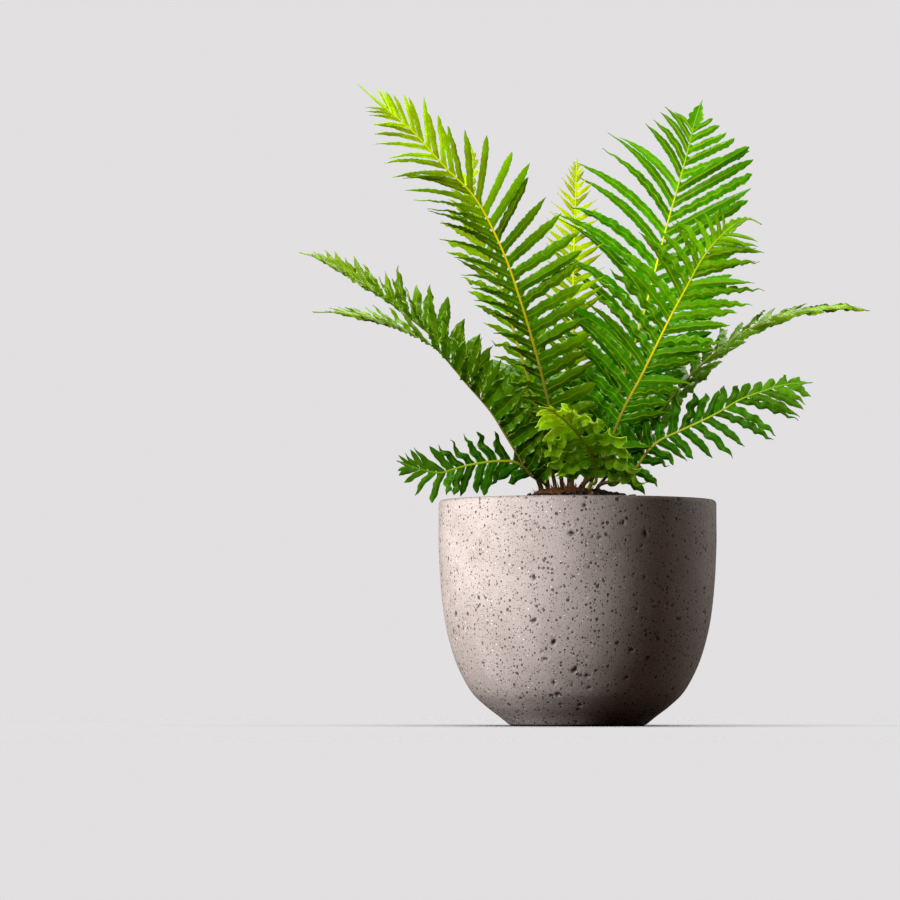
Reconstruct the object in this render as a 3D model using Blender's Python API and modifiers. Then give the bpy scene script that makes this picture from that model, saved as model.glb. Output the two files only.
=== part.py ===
# A potted silver lady fern: a rosette of fourteen fronds on a scaly crown, in a bowl pot of grey cast stone.
# Metres, +Z up, seen from the front along +Y. The origin is the middle of the pot's foot.
import math
import random
from collections import namedtuple

import bmesh
import bpy
from mathutils import Quaternion, Vector, geometry
from mathutils.bvhtree import BVHTree

MM = 0.001
GAP = 0.3 * MM  # between pieces that touch

# Pot: the wall's outer side from the foot to the rim, as (radius, height)
POT_SIDE = [(48.5, 0.0), (55.8, 6.0), (66.2, 14.0), (76.3, 24.0), (85.7, 41.0), (91.6, 58.0), (95.8, 77.0),
            (98.6, 102.0), (100.0, 130.0)]
POT_RADIUS = 100.0
POT_HEIGHT = 162.0
POT_WALL = 9.0
POT_INSIDE = POT_RADIUS - POT_WALL
POT_FLOOR = 12.0  # the height of its inner side
INNER_HEIGHTS = (130.0, 102.0, 77.0, 58.0, 41.0, 24.0)  # of the rings of the wall's inner side, down to the
FLOOR_CORNER = 10.0  # corner, which is this much narrower at the floor than at the lowest ring
RIM_ROUND = 3.0
POT_SIDES = 40
DRAIN_RADIUS = 5.0
DRAIN_CENTRES = 28.0  # from the pot's axis
DRAINS = 3

# Soil
SOIL_EDGE = 154.0  # its height at the wall
SOIL_MOUND = 170.5  # its height round the crown
SOIL_RINGS = (1.0, 0.85, 0.7, 0.55, 0.4, 0.2, 0.0)  # shares of its radius
SOIL_SIDES = 40

# Crown: where the stalks stand
CROWN_CENTRE = (-6.0, 0.0)
CROWN_RADIUS = 27.0
CROWN_BOTTOM = 148.0
CROWN_SHOULDER = 166.0
CROWN_TOP = 171.0
CROWN_SIDES = 24
SOCKET_BOTTOM = 155.0
SOCKET_RADIUS = 2.7
OVER_CROWN = 190.0  # a height above the crown and soil, where their holes' cutters end

# Fronds
BLADE = 0.8  # a leaflet's thickness
STALK_WIDE = 1.9  # half a stalk's width at its foot
STALK_TIP = 0.5
STALK_TAPER = 0.45  # under 1, so that it narrows mostly near its foot
STALK_THICK = 3.4
STALK_FOOT = (155.5, 162.0, 172.0)  # heights at which a stalk still stands upright in its socket
BARE_STATIONS = 22  # a stalk's leafless part has this many for its whole length, and at least four
LOBE_WIDEST = 0.25  # how far up the end lobe is widest, as a share of its length
LEAST_SWEEP = 0.8  # radians; leaflets that are swept further forward than this grow no narrower
CHANCE = (6.0, 7.0, 0.1, 8.0)  # how far a leaflet strays in sweep and lift, length as a share, and tilt
MIDRIB_STEPS = 6  # of which these have a point of the blade's edge, with its share of the full width
EDGE_STEPS = {1: 1.0, 3: 1.0, 4: 0.75}
CLEAR = 1.4  # the least room between two fronds' blades
OVER_SOIL = 4.0  # the least room under a leaflet
OVER_RIM = 2.0
LIFTS = (0, 7, -7, 14, -14, 22, -22, 30, -30, 40)
SHORTENED = (1.0, 0.88, 0.75, 0.6, 0.45, 0.3, 0.18)
SEED = 41

# One row of leaflets. Each list runs from the frond's lowest leaflet to its top one. length is in mm. sweep
# is the angle from the midrib, lift the angle out of the frond's plane, tilt the turn of the blade about its
# own midrib, bend the outward curve and sag the fall of the tip, in degrees. broad is the blade's width as a
# share of the room between two notches.
Row = namedtuple("Row", "length sweep lift tilt bend sag broad")
# A frond: foot is its socket in the crown; path runs on from there; face is the way its upper side looks,
# at the foot and at the tip; bare is the leafless share of the path; a crowding over 1 brings the leaflets
# closer together near the top, and one under 1 near the foot; tip is the end lobe's length and lobe half
# its width.
Frond = namedtuple("Frond", "name foot path face bare pairs crowding tip lobe wave left right colour")

STONE = (0.30, 0.28, 0.26)
PEAT = (0.035, 0.02, 0.012)
ROOTSTOCK = (0.07, 0.035, 0.015)
DEEP = (0.035, 0.13, 0.008)
FRESH = (0.10, 0.27, 0.012)
OLIVE = (0.13, 0.22, 0.02)
LIME = (0.42, 0.55, 0.02)

FRONDS = [
    Frond("frond_left_tall", (-11, -20),
          [(-15, -28, 204), (-22, -37, 236), (-29, -45, 264), (-41, -56, 304), (-53, -65, 337),
           (-72, -76, 373), (-93, -85, 394), (-116, -93, 419), (-139, -99, 438), (-154, -104, 451)],
          ((0.1, -1, 0.1), (0.1, -1, 0.3)), 0.1, 31, 1.25, 26, 1.1, 0.7,
          Row((14, 31, 50, 50, 34, 14), (54, 46, 40, 36, 34, 26), (6, 8), 60, 6, 12, 0.74),
          Row((24, 44, 55, 42, 31, 13), (74, 74, 74, 74, 72, 58, 42, 40, 36, 30, 24), (10, 6), 8, -8, 6,
              0.8),
          DEEP),
    Frond("frond_front_small", (9, -16),
          [(13, -22, 174), (13, -30, 184), (10, -40, 193), (5, -52, 201), (-3, -66, 210), (-11, -80, 217),
           (-19, -92, 222), (-27, -102, 224)],
          ((0.2, 1, 0.3), (-0.2, 0.4, 1)), 0.12, 10, 1.25, 14, 3.0, 0.9,
          Row((32, 44, 40, 30, 24, 12), (60, 70, 70, 60, 48, 28), (-20, 12), 20, -12, 80, 0.85),
          Row((24, 34, 30, 24, 18, 9), (60, 66, 66, 62, 46, 28), (-20, 12), 20, -12, 80, 0.85), FRESH),
    Frond("frond_left_front", (-22, -14),
          [(-34, -19, 180), (-42, -23, 193), (-52, -28, 209), (-60, -32, 222), (-69, -36, 233),
           (-79, -40, 244), (-89, -44, 256), (-99, -48, 267), (-112, -52, 276), (-129, -56, 284),
           (-148, -60, 290), (-168, -64, 293), (-188, -68, 293)],
          ((0.8, -0.1, 0.6), (0.1, -0.1, 1)), 0.08, 21, 1.25, 24, 1.0, 0.7,
          Row((22, 36, 39, 31, 24, 13), (78, 74, 58, 34, 18, 12), (62, 60, 20, -15, -12), 5, 0, 0, 0.86),
          Row((22, 38, 41, 31, 24, 13), (78, 74, 58, 34, 18, 12), (58, 56, 34, 8, 6), 5, 0, 0, 0.86), OLIVE),
    Frond("frond_right_low", (15, -8),
          [(30, -13, 176), (40, -17, 182), (48, -22, 193), (58, -28, 203), (73, -34, 210), (91, -42, 218),
           (103, -48, 224), (115, -54, 231), (132, -61, 237), (147, -68, 241), (166, -76, 242)],
          ((-0.1, -1, 0.2), (-0.1, -1, 0.3)), 0.07, 18, 1.0, 12, 2.0, 0.9,
          Row((20, 28, 31, 30, 24, 17, 12, 10, 7), (60, 60, 58, 54, 48, 40, 34, 28, 22), (8, 6), 6, 4, 0,
              0.8),
          Row((16, 22, 22, 32, 44, 47, 34, 12), (50, 54, 66, 56, 48, 43, 37, 28), (8, 6), 10, 6, 12, 0.64),
          DEEP),
    Frond("frond_right_front", (4, -9),
          [(15, -13, 183), (25, -18, 207), (34, -23, 228), (45, -28, 248), (55, -34, 268), (67, -42, 292),
           (77, -50, 310), (87, -61, 328), (96, -71, 340), (103, -79, 347), (111, -87, 353),
           (121, -95, 356), (130, -103, 351)],
          ((-0.2, -1, 0.2), (-0.2, -1, 0.35)), 0.12, 22, 1.25, 36, 4.6, 0.9,
          Row((34, 62, 66, 52, 30, 10), (62, 62, 62, 58, 54, 52), (10, 12), 12, 16, 10, 0.74),
          Row((30, 42, 50, 64, 50, 28), (60, 58, 54, 48, 42, 36), (10, 6), 20, 2, 8, 0.76), FRESH),
    Frond("frond_left_low", (-26, -5),
          [(-34, -6, 182), (-44, -6, 189), (-56, -8, 190), (-66, -11, 189), (-77, -15, 187),
           (-88, -19, 184), (-98, -23, 181), (-112, -29, 183), (-129, -37, 189)],
          ((0, -1, 0.1), (0, -1, 0.1)), 0.2, 13, 1.25, 10, 1.5, 0.9,
          Row((16, 23, 27, 25, 16, 7), (64, 62, 58, 48, 30, 14), (6, 6), 20, 8, 6, 0.76),
          Row((18, 23, 24, 23, 17, 8), (68, 66, 62, 54, 38, 16), (6, 6), 20, 4, 6, 0.76), DEEP),
    Frond("frond_left_arching", (-27, 3),
          [(-41, 8, 202), (-56, 13, 224), (-71, 18, 244), (-85, 23, 263), (-100, 29, 278),
           (-114, 34, 290), (-131, 41, 304), (-151, 48, 318), (-170, 55, 332), (-188, 62, 342),
           (-205, 68, 348)],
          ((0.8, -0.1, 0.6), (0.5, -0.1, 0.9)), 0.14, 20, 1.25, 22, 1.0, 0.8,
          Row((22, 32, 40, 38, 26, 13), (78, 72, 56, 38, 26, 16), (52, 50, 40, 0, -14), 5, 0, 0, 0.86),
          Row((22, 32, 40, 41, 26, 12), (78, 72, 56, 38, 24, 16), (56, 54, 52, 36, 24), 5, 0, 0, 0.86),
          FRESH),
    Frond("frond_right_arching", (15, 2),
          [(32, 5, 190), (49, 8, 209), (61, 11, 226), (74, 15, 244), (89, 19, 260), (105, 24, 274),
           (125, 29, 288), (151, 35, 299), (180, 43, 305), (200, 48, 305), (214, 52, 302)],
          ((-0.5, -0.1, 0.9), (-0.1, -0.1, 1)), 0.16, 20, 1.25, 16, 1.2, 0.8,
          Row((24, 36, 38, 34, 25, 12), (72, 62, 48, 34, 22, 14), (26, 8), 8, 0, 20, 0.95),
          Row((20, 26, 26, 24, 20, 10), (68, 56, 42, 28, 18, 12), (-6, -10), 8, 0, 20, 0.95), OLIVE),
    Frond("frond_right_tall", (4, 4),
          [(16, 8, 202), (27, 12, 231), (39, 17, 268), (51, 23, 308), (60, 28, 343), (67, 33, 369),
           (75, 38, 397), (81, 43, 419), (86, 48, 440), (92, 52, 458)],
          ((-0.1, -1, 0.0), (-0.1, -1, 0.2)), 0.12, 21, 1.25, 22, 5.5, 0.8,
          Row((40, 72, 86, 81, 43, 14), (52, 52, 52, 47, 38, 40), (8, 6), 20, 26, 8, 0.64),
          Row((32, 54, 68, 70, 43, 9), (62, 58, 56, 53, 52, 52), (8, 6), 8, -4, 4, 0.72), FRESH),
    Frond("frond_left_inner", (-16, -4),
          [(-21, -8, 194), (-28, -12, 224), (-35, -16, 248), (-43, -20, 274), (-53, -26, 308),
           (-64, -31, 334), (-74, -36, 362), (-77, -40, 382), (-74, -44, 400), (-78, -48, 420)],
          ((0.1, -1, 0.0), (0.1, -1, 0.2)), 0.1, 24, 1.25, 14, 1.5, 0.9,
          Row((10, 18, 33, 35, 15, 4), (56, 50, 44, 40, 32, 22), (6, 4), 50, -6, 10, 0.75),
          Row((16, 24, 28, 19, 7, 4), (64, 60, 54, 44, 32, 24), (6, 4), 20, 0, 4, 0.75), FRESH),
    Frond("frond_centre_young", (-4, 9),
          [(-2, 16, 206), (-2, 20, 250), (-3, 24, 308), (-2, 27, 353), (-1, 30, 386), (0, 33, 413)],
          ((0, -1, 0), (0, -1, 0.1)), 0.16, 28, 1.25, 6, 0.7, 0.5,
          Row((16, 26, 30, 27, 17, 3), (52, 50, 48, 48, 44, 28), (8, 6), 14, 4, 0, 0.66),
          Row((15, 22, 26, 24, 15, 3), (66, 66, 66, 62, 54, 30), (8, 6), 24, -6, 0, 0.6), LIME),
    Frond("frond_back_right", (9, 13),
          [(18, 25, 198), (30, 44, 232), (42, 68, 258), (52, 96, 270), (60, 124, 266), (66, 148, 252)],
          ((-0.3, -0.5, 0.8), (0.1, 0.4, 1)), 0.12, 15, 1.25, 14, 1.5, 0.8,
          Row((22, 34, 38, 34, 22, 7), (78, 72, 64, 56, 42, 26), (22, 14), 8, 4, 22, 0.86),
          Row((22, 34, 38, 34, 22, 7), (78, 72, 64, 56, 42, 26), (22, 14), 8, 4, 22, 0.86), DEEP),
    Frond("frond_back_middle", (-6, 20),
          [(-7, 34, 200), (-9, 54, 232), (-11, 82, 254), (-12, 114, 262), (-12, 144, 254),
           (-11, 170, 234)],
          ((0, -0.6, 0.8), (0, 0.4, 1)), 0.12, 15, 1.25, 14, 1.5, 0.8,
          Row((22, 34, 38, 34, 22, 7), (78, 72, 64, 56, 42, 26), (22, 14), 8, 4, 22, 0.86),
          Row((22, 34, 38, 34, 22, 7), (78, 72, 64, 56, 42, 26), (22, 14), 8, 4, 22, 0.86), FRESH),
    Frond("frond_back_left", (-21, 14),
          [(-26, 27, 202), (-32, 46, 232), (-38, 70, 254), (-44, 98, 264), (-49, 126, 260),
           (-53, 150, 246)],
          ((0.3, -0.5, 0.8), (-0.1, 0.4, 1)), 0.12, 15, 1.25, 14, 1.5, 0.8,
          Row((22, 32, 36, 32, 22, 7), (78, 72, 64, 56, 42, 26), (22, 14), 8, 4, 22, 0.86),
          Row((22, 30, 32, 30, 22, 7), (78, 72, 64, 56, 42, 26), (22, 14), 8, 4, 22, 0.86), DEEP),
]


def clear_scene():
    for thing in list(bpy.data.objects):
        bpy.data.objects.remove(thing)


def new_collection(name):
    collection = bpy.data.collections.new(name)
    bpy.context.scene.collection.children.link(collection)
    return collection


def material(name, colour, roughness):
    made = bpy.data.materials.new(name)
    made.use_nodes = True
    surface = made.node_tree.nodes["Principled BSDF"]
    surface.inputs["Base Color"].default_value = (*colour, 1.0)
    surface.inputs["Roughness"].default_value = roughness
    surface.inputs["Metallic"].default_value = 0.0
    return made


def new_object(name, mesh, collection, paint=None):
    made = bpy.data.objects.new(name, mesh)
    collection.objects.link(made)
    if paint:
        mesh.materials.append(paint)
    return made


def turned(name, profile, sides, collection, paint):
    """The profile, (radius, height) pairs in mm down its outer side, turned about the Z axis."""
    line = bmesh.new()
    points = [line.verts.new((radius * MM, 0.0, height * MM)) for radius, height in profile]
    for first, second in zip(points, points[1:]):
        line.edges.new((first, second))
    mesh = bpy.data.meshes.new(name)
    line.to_mesh(mesh)
    line.free()
    made = new_object(name, mesh, collection, paint)
    turn = made.modifiers.new("Turn", "SCREW")
    turn.steps = sides
    turn.render_steps = sides
    turn.use_merge_vertices = True
    turn.merge_threshold = 0.0001
    turn.use_smooth_shade = True
    return made


def baked(thing):
    """The object with its modifiers worked into its mesh."""
    graph = bpy.context.evaluated_depsgraph_get()
    mesh = bpy.data.meshes.new_from_object(thing.evaluated_get(graph))
    thing.modifiers.clear()
    thing.data = mesh
    return thing


def peg(name, centre, radius, bottom, top, sides, cutters):
    """An upright cylinder that cuts a hole, in mm."""
    shape = bmesh.new()
    bmesh.ops.create_cone(shape, cap_ends=True, segments=sides, radius1=radius * MM, radius2=radius * MM,
                          depth=(top - bottom) * MM)
    mesh = bpy.data.meshes.new(name)
    shape.to_mesh(mesh)
    shape.free()
    made = new_object(name, mesh, cutters)
    made.location = (centre[0] * MM, centre[1] * MM, (bottom + top) / 2 * MM)
    made.hide_render = True
    made.display_type = "WIRE"
    return made


def cut(thing, cutter):
    hole = thing.modifiers.new("Cut " + cutter.name, "BOOLEAN")
    hole.operation = "DIFFERENCE"
    hole.object = cutter


# Pot

def rim_profile():
    """Over the rim, from its outer edge to its inner one: two quarter rounds and the flat between them."""
    outer = POT_RADIUS - RIM_ROUND
    inner = POT_INSIDE + RIM_ROUND
    shoulder = POT_HEIGHT - RIM_ROUND
    corner = [math.radians(angle) for angle in (0, 30, 60, 90)]
    outside = [(outer + RIM_ROUND * math.cos(a), shoulder + RIM_ROUND * math.sin(a)) for a in corner]
    inside = [(inner - RIM_ROUND * math.sin(a), shoulder + RIM_ROUND * math.cos(a)) for a in corner]
    return outside + inside


def inner_radius(height):
    """The inner side of the wall at a height, a wall's thickness in from the outer side."""
    for (low_radius, low), (high_radius, high) in zip(POT_SIDE, POT_SIDE[1:]):
        if low <= height <= high:
            return low_radius + (high_radius - low_radius) * (height - low) / (high - low) - POT_WALL
    return POT_INSIDE


def pot(collection, cutters):
    paint = material("cast_stone", STONE, 0.85)
    inside = [(inner_radius(height), height) for height in INNER_HEIGHTS]
    floor = [(inside[-1][0] - FLOOR_CORNER, POT_FLOOR), (0.0, POT_FLOOR)]
    profile = rim_profile() + inside + floor
    outside = [(0.0, 0.0)] + POT_SIDE
    made = turned("pot", outside + profile, POT_SIDES, collection, paint)
    for index in range(DRAINS):
        angle = math.tau * index / DRAINS
        centre = (DRAIN_CENTRES * math.cos(angle), DRAIN_CENTRES * math.sin(angle))
        cut(made, peg(f"drain_{index + 1}", centre, DRAIN_RADIUS, -5.0, POT_FLOOR + 5.0, 16, cutters))
    return made


# Soil

def soil_height(radius):
    """Level at the wall, and rising in a smooth mound towards the crown."""
    share = min(1.0, radius / POT_INSIDE)
    return SOIL_EDGE + (SOIL_MOUND - SOIL_EDGE) * (0.5 + 0.5 * math.cos(math.pi * share))


def lumps(x, y):
    """How far the crumbs raise the soil at a place, in mm."""
    return 0.7 * math.sin(x / 6.1 + 1.3 * math.sin(y / 9.0)) + 0.6 * math.cos(y / 5.3 - x / 11.0)


def soil(collection, cutters):
    paint = material("potting_mix", PEAT, 0.95)
    room = GAP / MM
    wall = [(inner_radius(height) - room, height) for height in reversed(INNER_HEIGHTS)]
    bottom = [(0.0, POT_FLOOR + room), (wall[0][0] - FLOOR_CORNER, POT_FLOOR + room)]
    edge = POT_INSIDE - room
    top = [(edge * share, soil_height(edge * share)) for share in SOIL_RINGS]
    made = baked(turned("soil", bottom + wall + top, SOIL_SIDES, collection, paint))
    for vertex in made.data.vertices:
        x, y, z = vertex.co / MM
        radius = math.hypot(x, y)
        if z > SOIL_EDGE - 1.0 and radius < edge - 2.0:
            vertex.co.z += lumps(x, y) * MM
    cut(made, peg("crown_pocket", CROWN_CENTRE, CROWN_RADIUS + room, CROWN_BOTTOM - room, OVER_CROWN,
             CROWN_SIDES, cutters))
    return made


# Crown

def crown(collection, cutters):
    paint = material("scaly_rootstock", ROOTSTOCK, 0.9)
    profile = [(0.0, CROWN_BOTTOM), (CROWN_RADIUS, CROWN_BOTTOM), (CROWN_RADIUS, CROWN_SHOULDER),
               (CROWN_RADIUS * 0.8, CROWN_TOP - 1.5), (CROWN_RADIUS * 0.4, CROWN_TOP), (0.0, CROWN_TOP)]
    made = turned("crown", profile, CROWN_SIDES, collection, paint)
    made.location = (CROWN_CENTRE[0] * MM, CROWN_CENTRE[1] * MM, 0.0)
    for frond in FRONDS:
        name = frond.name.replace("frond", "socket")
        cut(made, peg(name, frond.foot, SOCKET_RADIUS, SOCKET_BOTTOM, OVER_CROWN, 8, cutters))
    return made


# Fronds: lines and frames

def blend(values, share):
    """The value at a share of the way along an evenly spaced list."""
    place = min(max(share, 0.0), 1.0) * (len(values) - 1)
    index = min(int(place), len(values) - 2)
    return values[index] + (values[index + 1] - values[index]) * (place - index)


class Line:
    """A smooth line through points, asked for its place and direction by the share of its length."""

    def __init__(self, points):
        ends = [points[0] * 2 - points[1]] + points + [points[-1] * 2 - points[-2]]
        self.points = [points[0]]
        for before, start, end, after in zip(ends, ends[1:], ends[2:], ends[3:]):
            pull = (end - start).length * 0.33
            first = start + (end - before).normalized() * pull
            second = end - (after - start).normalized() * pull
            self.points += geometry.interpolate_bezier(start, first, second, end, 9)[1:]
        self.lengths = [0.0]
        for start, end in zip(self.points, self.points[1:]):
            self.lengths.append(self.lengths[-1] + (end - start).length)
        self.length = self.lengths[-1]

    def place(self, share):
        reach = min(max(share, 0.0), 1.0) * self.length
        index = 1
        while index < len(self.lengths) - 1 and self.lengths[index] < reach:
            index += 1
        span = self.lengths[index] - self.lengths[index - 1]
        return self.points[index - 1].lerp(self.points[index], (reach - self.lengths[index - 1]) / span)

    def direction(self, share):
        low = max(share - 0.01, 0.0)
        high = min(share + 0.01, 1.0)
        return (self.place(high) - self.place(low)).normalized()


def line_of(frond):
    foot = [Vector((*frond.foot, height)) for height in STALK_FOOT]
    return Line(foot + [Vector(point) for point in frond.path])


Cross = namedtuple("Cross", "centre along across face half")


def cross_section(frond, line, share):
    """The stalk at a share of its length: its middle, three directions and half its width."""
    along = line.direction(share)
    toward = Vector(frond.face[0]).lerp(Vector(frond.face[1]), share)
    face = (toward - along * toward.dot(along)).normalized()
    half = STALK_WIDE + (STALK_TIP - STALK_WIDE) * share ** STALK_TAPER
    return Cross(line.place(share), along, along.cross(face), face, half)


def stations(frond):
    """Shares of the stalk where the notches between leaflets lie."""
    leafy = 1.0 - frond.tip / line_of(frond).length - frond.bare
    left = [1 - index / frond.pairs for index in range(frond.pairs + 1)]
    return [frond.bare + leafy * (1 - part ** frond.crowding) for part in left]


# Fronds: leaflets

Leaflet = namedtuple("Leaflet", "low low_1 low_2 tip high_1 high")
LEAFLET_FACES = [(0, 1, 4, 5), (1, 2, 4), (2, 3, 4)]


def leaflet(frond, row, side, lower, upper, share, chance, lift_more, shorter):
    """One leaflet between two notches: two points on its lower edge, one on its upper edge, and its tip."""
    low = lower.centre + lower.across * side * lower.half
    high = upper.centre + upper.across * side * upper.half
    along = lower.along
    out = lower.across * side
    face = lower.face
    room = (high - low).length
    sweep = math.radians(blend(row.sweep, share) + chance[0])
    lift = math.radians(blend(row.lift, share) + chance[1] + lift_more)
    length = blend(row.length, share) * (1 + chance[2]) * shorter
    tilt = math.radians(row.tilt + chance[3]) * side
    width = room * math.sin(max(sweep, LEAST_SWEEP)) * row.broad / 2
    spot = (low + high) / 2
    edge = {}
    for step in range(MIDRIB_STEPS):
        done = (step + 0.5) / MIDRIB_STEPS
        turn = sweep + math.radians(row.bend) * done
        sideways = out * math.cos(lift) + face * math.sin(lift)
        way = along * math.cos(turn) + sideways * math.sin(turn)
        way.z -= math.sin(math.radians(row.sag)) * done
        way.normalize()
        spot = spot + way * length / MIDRIB_STEPS
        if step in EDGE_STEPS:
            wide = (along - way * along.dot(way)).normalized()
            wide.rotate(Quaternion(way, tilt * min(1.0, 2 * (step + 1) / MIDRIB_STEPS)))
            half = wide * width * EDGE_STEPS[step] + way.cross(wide) * frond.wave
            edge[step] = spot + half if step == 3 else spot - half
    return Leaflet(low, edge[1], edge[4], spot, edge[3], high)


def above_pot(point):
    """Whether a point lies clear of the pot and the soil."""
    radius = math.hypot(point.x, point.y)
    if radius > POT_RADIUS + OVER_RIM:
        return True
    if radius > POT_INSIDE - OVER_RIM:
        return point.z > POT_HEIGHT + OVER_RIM
    return point.z > soil_height(radius) + OVER_SOIL


def is_clear(shape, others):
    """Whether a leaflet keeps its distance from the pot and from what the other fronds fill."""
    outline = list(shape)
    halfway = [(first + second) / 2 for first, second in zip(outline, outline[1:])]
    if not all(above_pot(point) for point in outline + halfway):
        return False
    if any(others.find_nearest(point, CLEAR)[0] for point in outline[1:-1] + halfway):
        return False
    normal = (shape.low_2 - shape.high).cross(shape.high_1 - shape.low).normalized()
    for shift in (0.0, CLEAR * 0.8, -CLEAR * 0.8):
        moved = [point + normal * shift for point in outline]
        if others.overlap(BVHTree.FromPolygons(moved, LEAFLET_FACES)):
            return False
    return True


def chosen(frond, row, side, lower, upper, share, chance, others):
    """The leaflet nearest to its natural place that is clear of the other fronds."""
    for shorter in SHORTENED:
        for lift_more in LIFTS:
            shape = leaflet(frond, row, side, lower, upper, share, chance, lift_more, shorter)
            if is_clear(shape, others):
                return shape
    return None


class Sheet:
    """A thin frond as points and faces, before it gets its thickness."""

    def __init__(self):
        self.points = []
        self.faces = []
        self.thick = []

    def add(self, point, thick=0.0):
        self.points.append(point)
        self.thick.append(thick)
        return len(self.points) - 1

    def face(self, corners, side=1):
        self.faces.append(corners if side == 1 else corners[::-1])


def stalk_shares(frond):
    """Stations of the bare stalk, then those of the leafy part."""
    bare = max(4, round(frond.bare * BARE_STATIONS))
    return [frond.bare * index / bare for index in range(bare)] + stations(frond)


def stalk_ribbon(frond):
    """The stalk and midrib as a flat ribbon: a middle line and an edge on each side."""
    line = line_of(frond)
    sections = [cross_section(frond, line, share) for share in stalk_shares(frond)]
    ribbon = Sheet()
    rows = []
    for section in sections:
        thick = section.half / STALK_WIDE
        rows.append((ribbon.add(section.centre - section.across * section.half),
                     ribbon.add(section.centre, thick),
                     ribbon.add(section.centre + section.across * section.half)))
    for (left, middle, right), (left_2, middle_2, right_2) in zip(rows, rows[1:]):
        ribbon.face((left, middle, middle_2, left_2))
        ribbon.face((middle, right, right_2, middle_2))
    return sections, rows, ribbon


def stalk_fin(sections):
    """The stalk seen from its side: the front and back edges that its thickness gives it."""
    points = []
    for section in sections:
        depth = section.face * (STALK_THICK / 2 * section.half / STALK_WIDE)
        points += [section.centre - depth, section.centre + depth]
    return points, [(index, index + 1, index + 3, index + 2) for index in range(0, len(points) - 2, 2)]


def add_leaflets(frond, sections, rows, ribbon, others):
    draw = random.Random(frond.name + str(SEED))
    first = len(rows) - 1 - frond.pairs
    for index in range(frond.pairs):
        share = index / frond.pairs
        for side, row in ((-1, frond.left), (1, frond.right)):
            chance = [draw.uniform(-most, most) for most in CHANCE]
            lower = sections[first + index]
            upper = sections[first + index + 1]
            shape = chosen(frond, row, side, lower, upper, share, chance, others)
            if not shape:
                continue
            low = rows[first + index][1 + side]
            high = rows[first + index + 1][1 + side]
            corners = [low] + [ribbon.add(point) for point in shape[1:-1]] + [high]
            for face in LEAFLET_FACES:
                ribbon.face([corners[corner] for corner in face], side)


def add_end_lobe(frond, sections, rows, ribbon):
    """The lobe that runs on to the end of the frond's line and narrows to a point."""
    line = line_of(frond)
    end = sections[-1]
    left, middle, right = rows[-1]
    spread = line.place(1.0 - (1.0 - LOBE_WIDEST) * frond.tip / line.length)
    wide = end.across * frond.lobe
    low = ribbon.add(spread - wide)
    halfway = ribbon.add(spread)
    high = ribbon.add(spread + wide)
    tip = ribbon.add(line.place(1.0))
    ribbon.face((left, middle, halfway, low))
    ribbon.face((middle, right, high, halfway))
    ribbon.face((low, halfway, tip))
    ribbon.face((halfway, high, tip))


def thickened(frond, sheet, collection):
    """The sheet with its faces split in triangles and given the thickness of a blade, or of a stalk."""
    shape = bmesh.new()
    verts = [shape.verts.new(point * MM) for point in sheet.points]
    for corners in sheet.faces:
        shape.faces.new([verts[corner] for corner in corners])
    bmesh.ops.triangulate(shape, faces=shape.faces[:])
    mesh = bpy.data.meshes.new(frond.name)
    shape.to_mesh(mesh)
    shape.free()
    paint = material(frond.name + "_leaf", frond.colour, 0.45)
    made = new_object(frond.name, mesh, collection, paint)
    stalk = made.vertex_groups.new(name="stalk")
    for index, thick in enumerate(sheet.thick):
        if thick:
            stalk.add([index], thick, "REPLACE")
    solid = made.modifiers.new("Thickness", "SOLIDIFY")
    solid.thickness = STALK_THICK * MM
    solid.offset = 0.0
    solid.vertex_group = "stalk"
    solid.thickness_vertex_group = BLADE / STALK_THICK
    return made


def fronds(collection):
    """Every stalk first, then the leaflets of one frond after another, each kept clear of all the others."""
    made = [(frond, *stalk_ribbon(frond)) for frond in FRONDS]
    for piece in made:
        add_end_lobe(*piece)
    for frond, sections, rows, ribbon in made:
        points = []
        faces = []
        for other, other_sections, _, sheet in made:
            if other is frond:
                continue
            for more_points, more_faces in ((sheet.points, sheet.faces), stalk_fin(other_sections)):
                faces += [[corner + len(points) for corner in face] for face in more_faces]
                points += more_points
        others = BVHTree.FromPolygons(points, faces)
        add_leaflets(frond, sections, rows, ribbon, others)
    for frond, _, _, ribbon in made:
        thickened(frond, ribbon, collection)


def main():
    clear_scene()
    pieces = new_collection("silver_lady_fern")
    cutters = new_collection("cutters")
    cutters.hide_render = True
    pot(pieces, cutters)
    soil(pieces, cutters)
    crown(pieces, cutters)
    fronds(pieces)


main()
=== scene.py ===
# %% [markdown]
# # A potted silver lady fern
# The plant is a rosette of fronds. Each frond has a stalk that rises from a scaly crown, and two rows of
# wavy leaflets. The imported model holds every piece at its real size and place, as plain solids. It is loaded
# first, so that whatever is made here can be laid exactly over it.

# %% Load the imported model
import math
import random
from collections import namedtuple

import bmesh
import bpy
from mathutils import Euler, Matrix, Quaternion, Vector, geometry, noise
from mathutils.bvhtree import BVHTree
from mathutils.kdtree import KDTree


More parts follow.
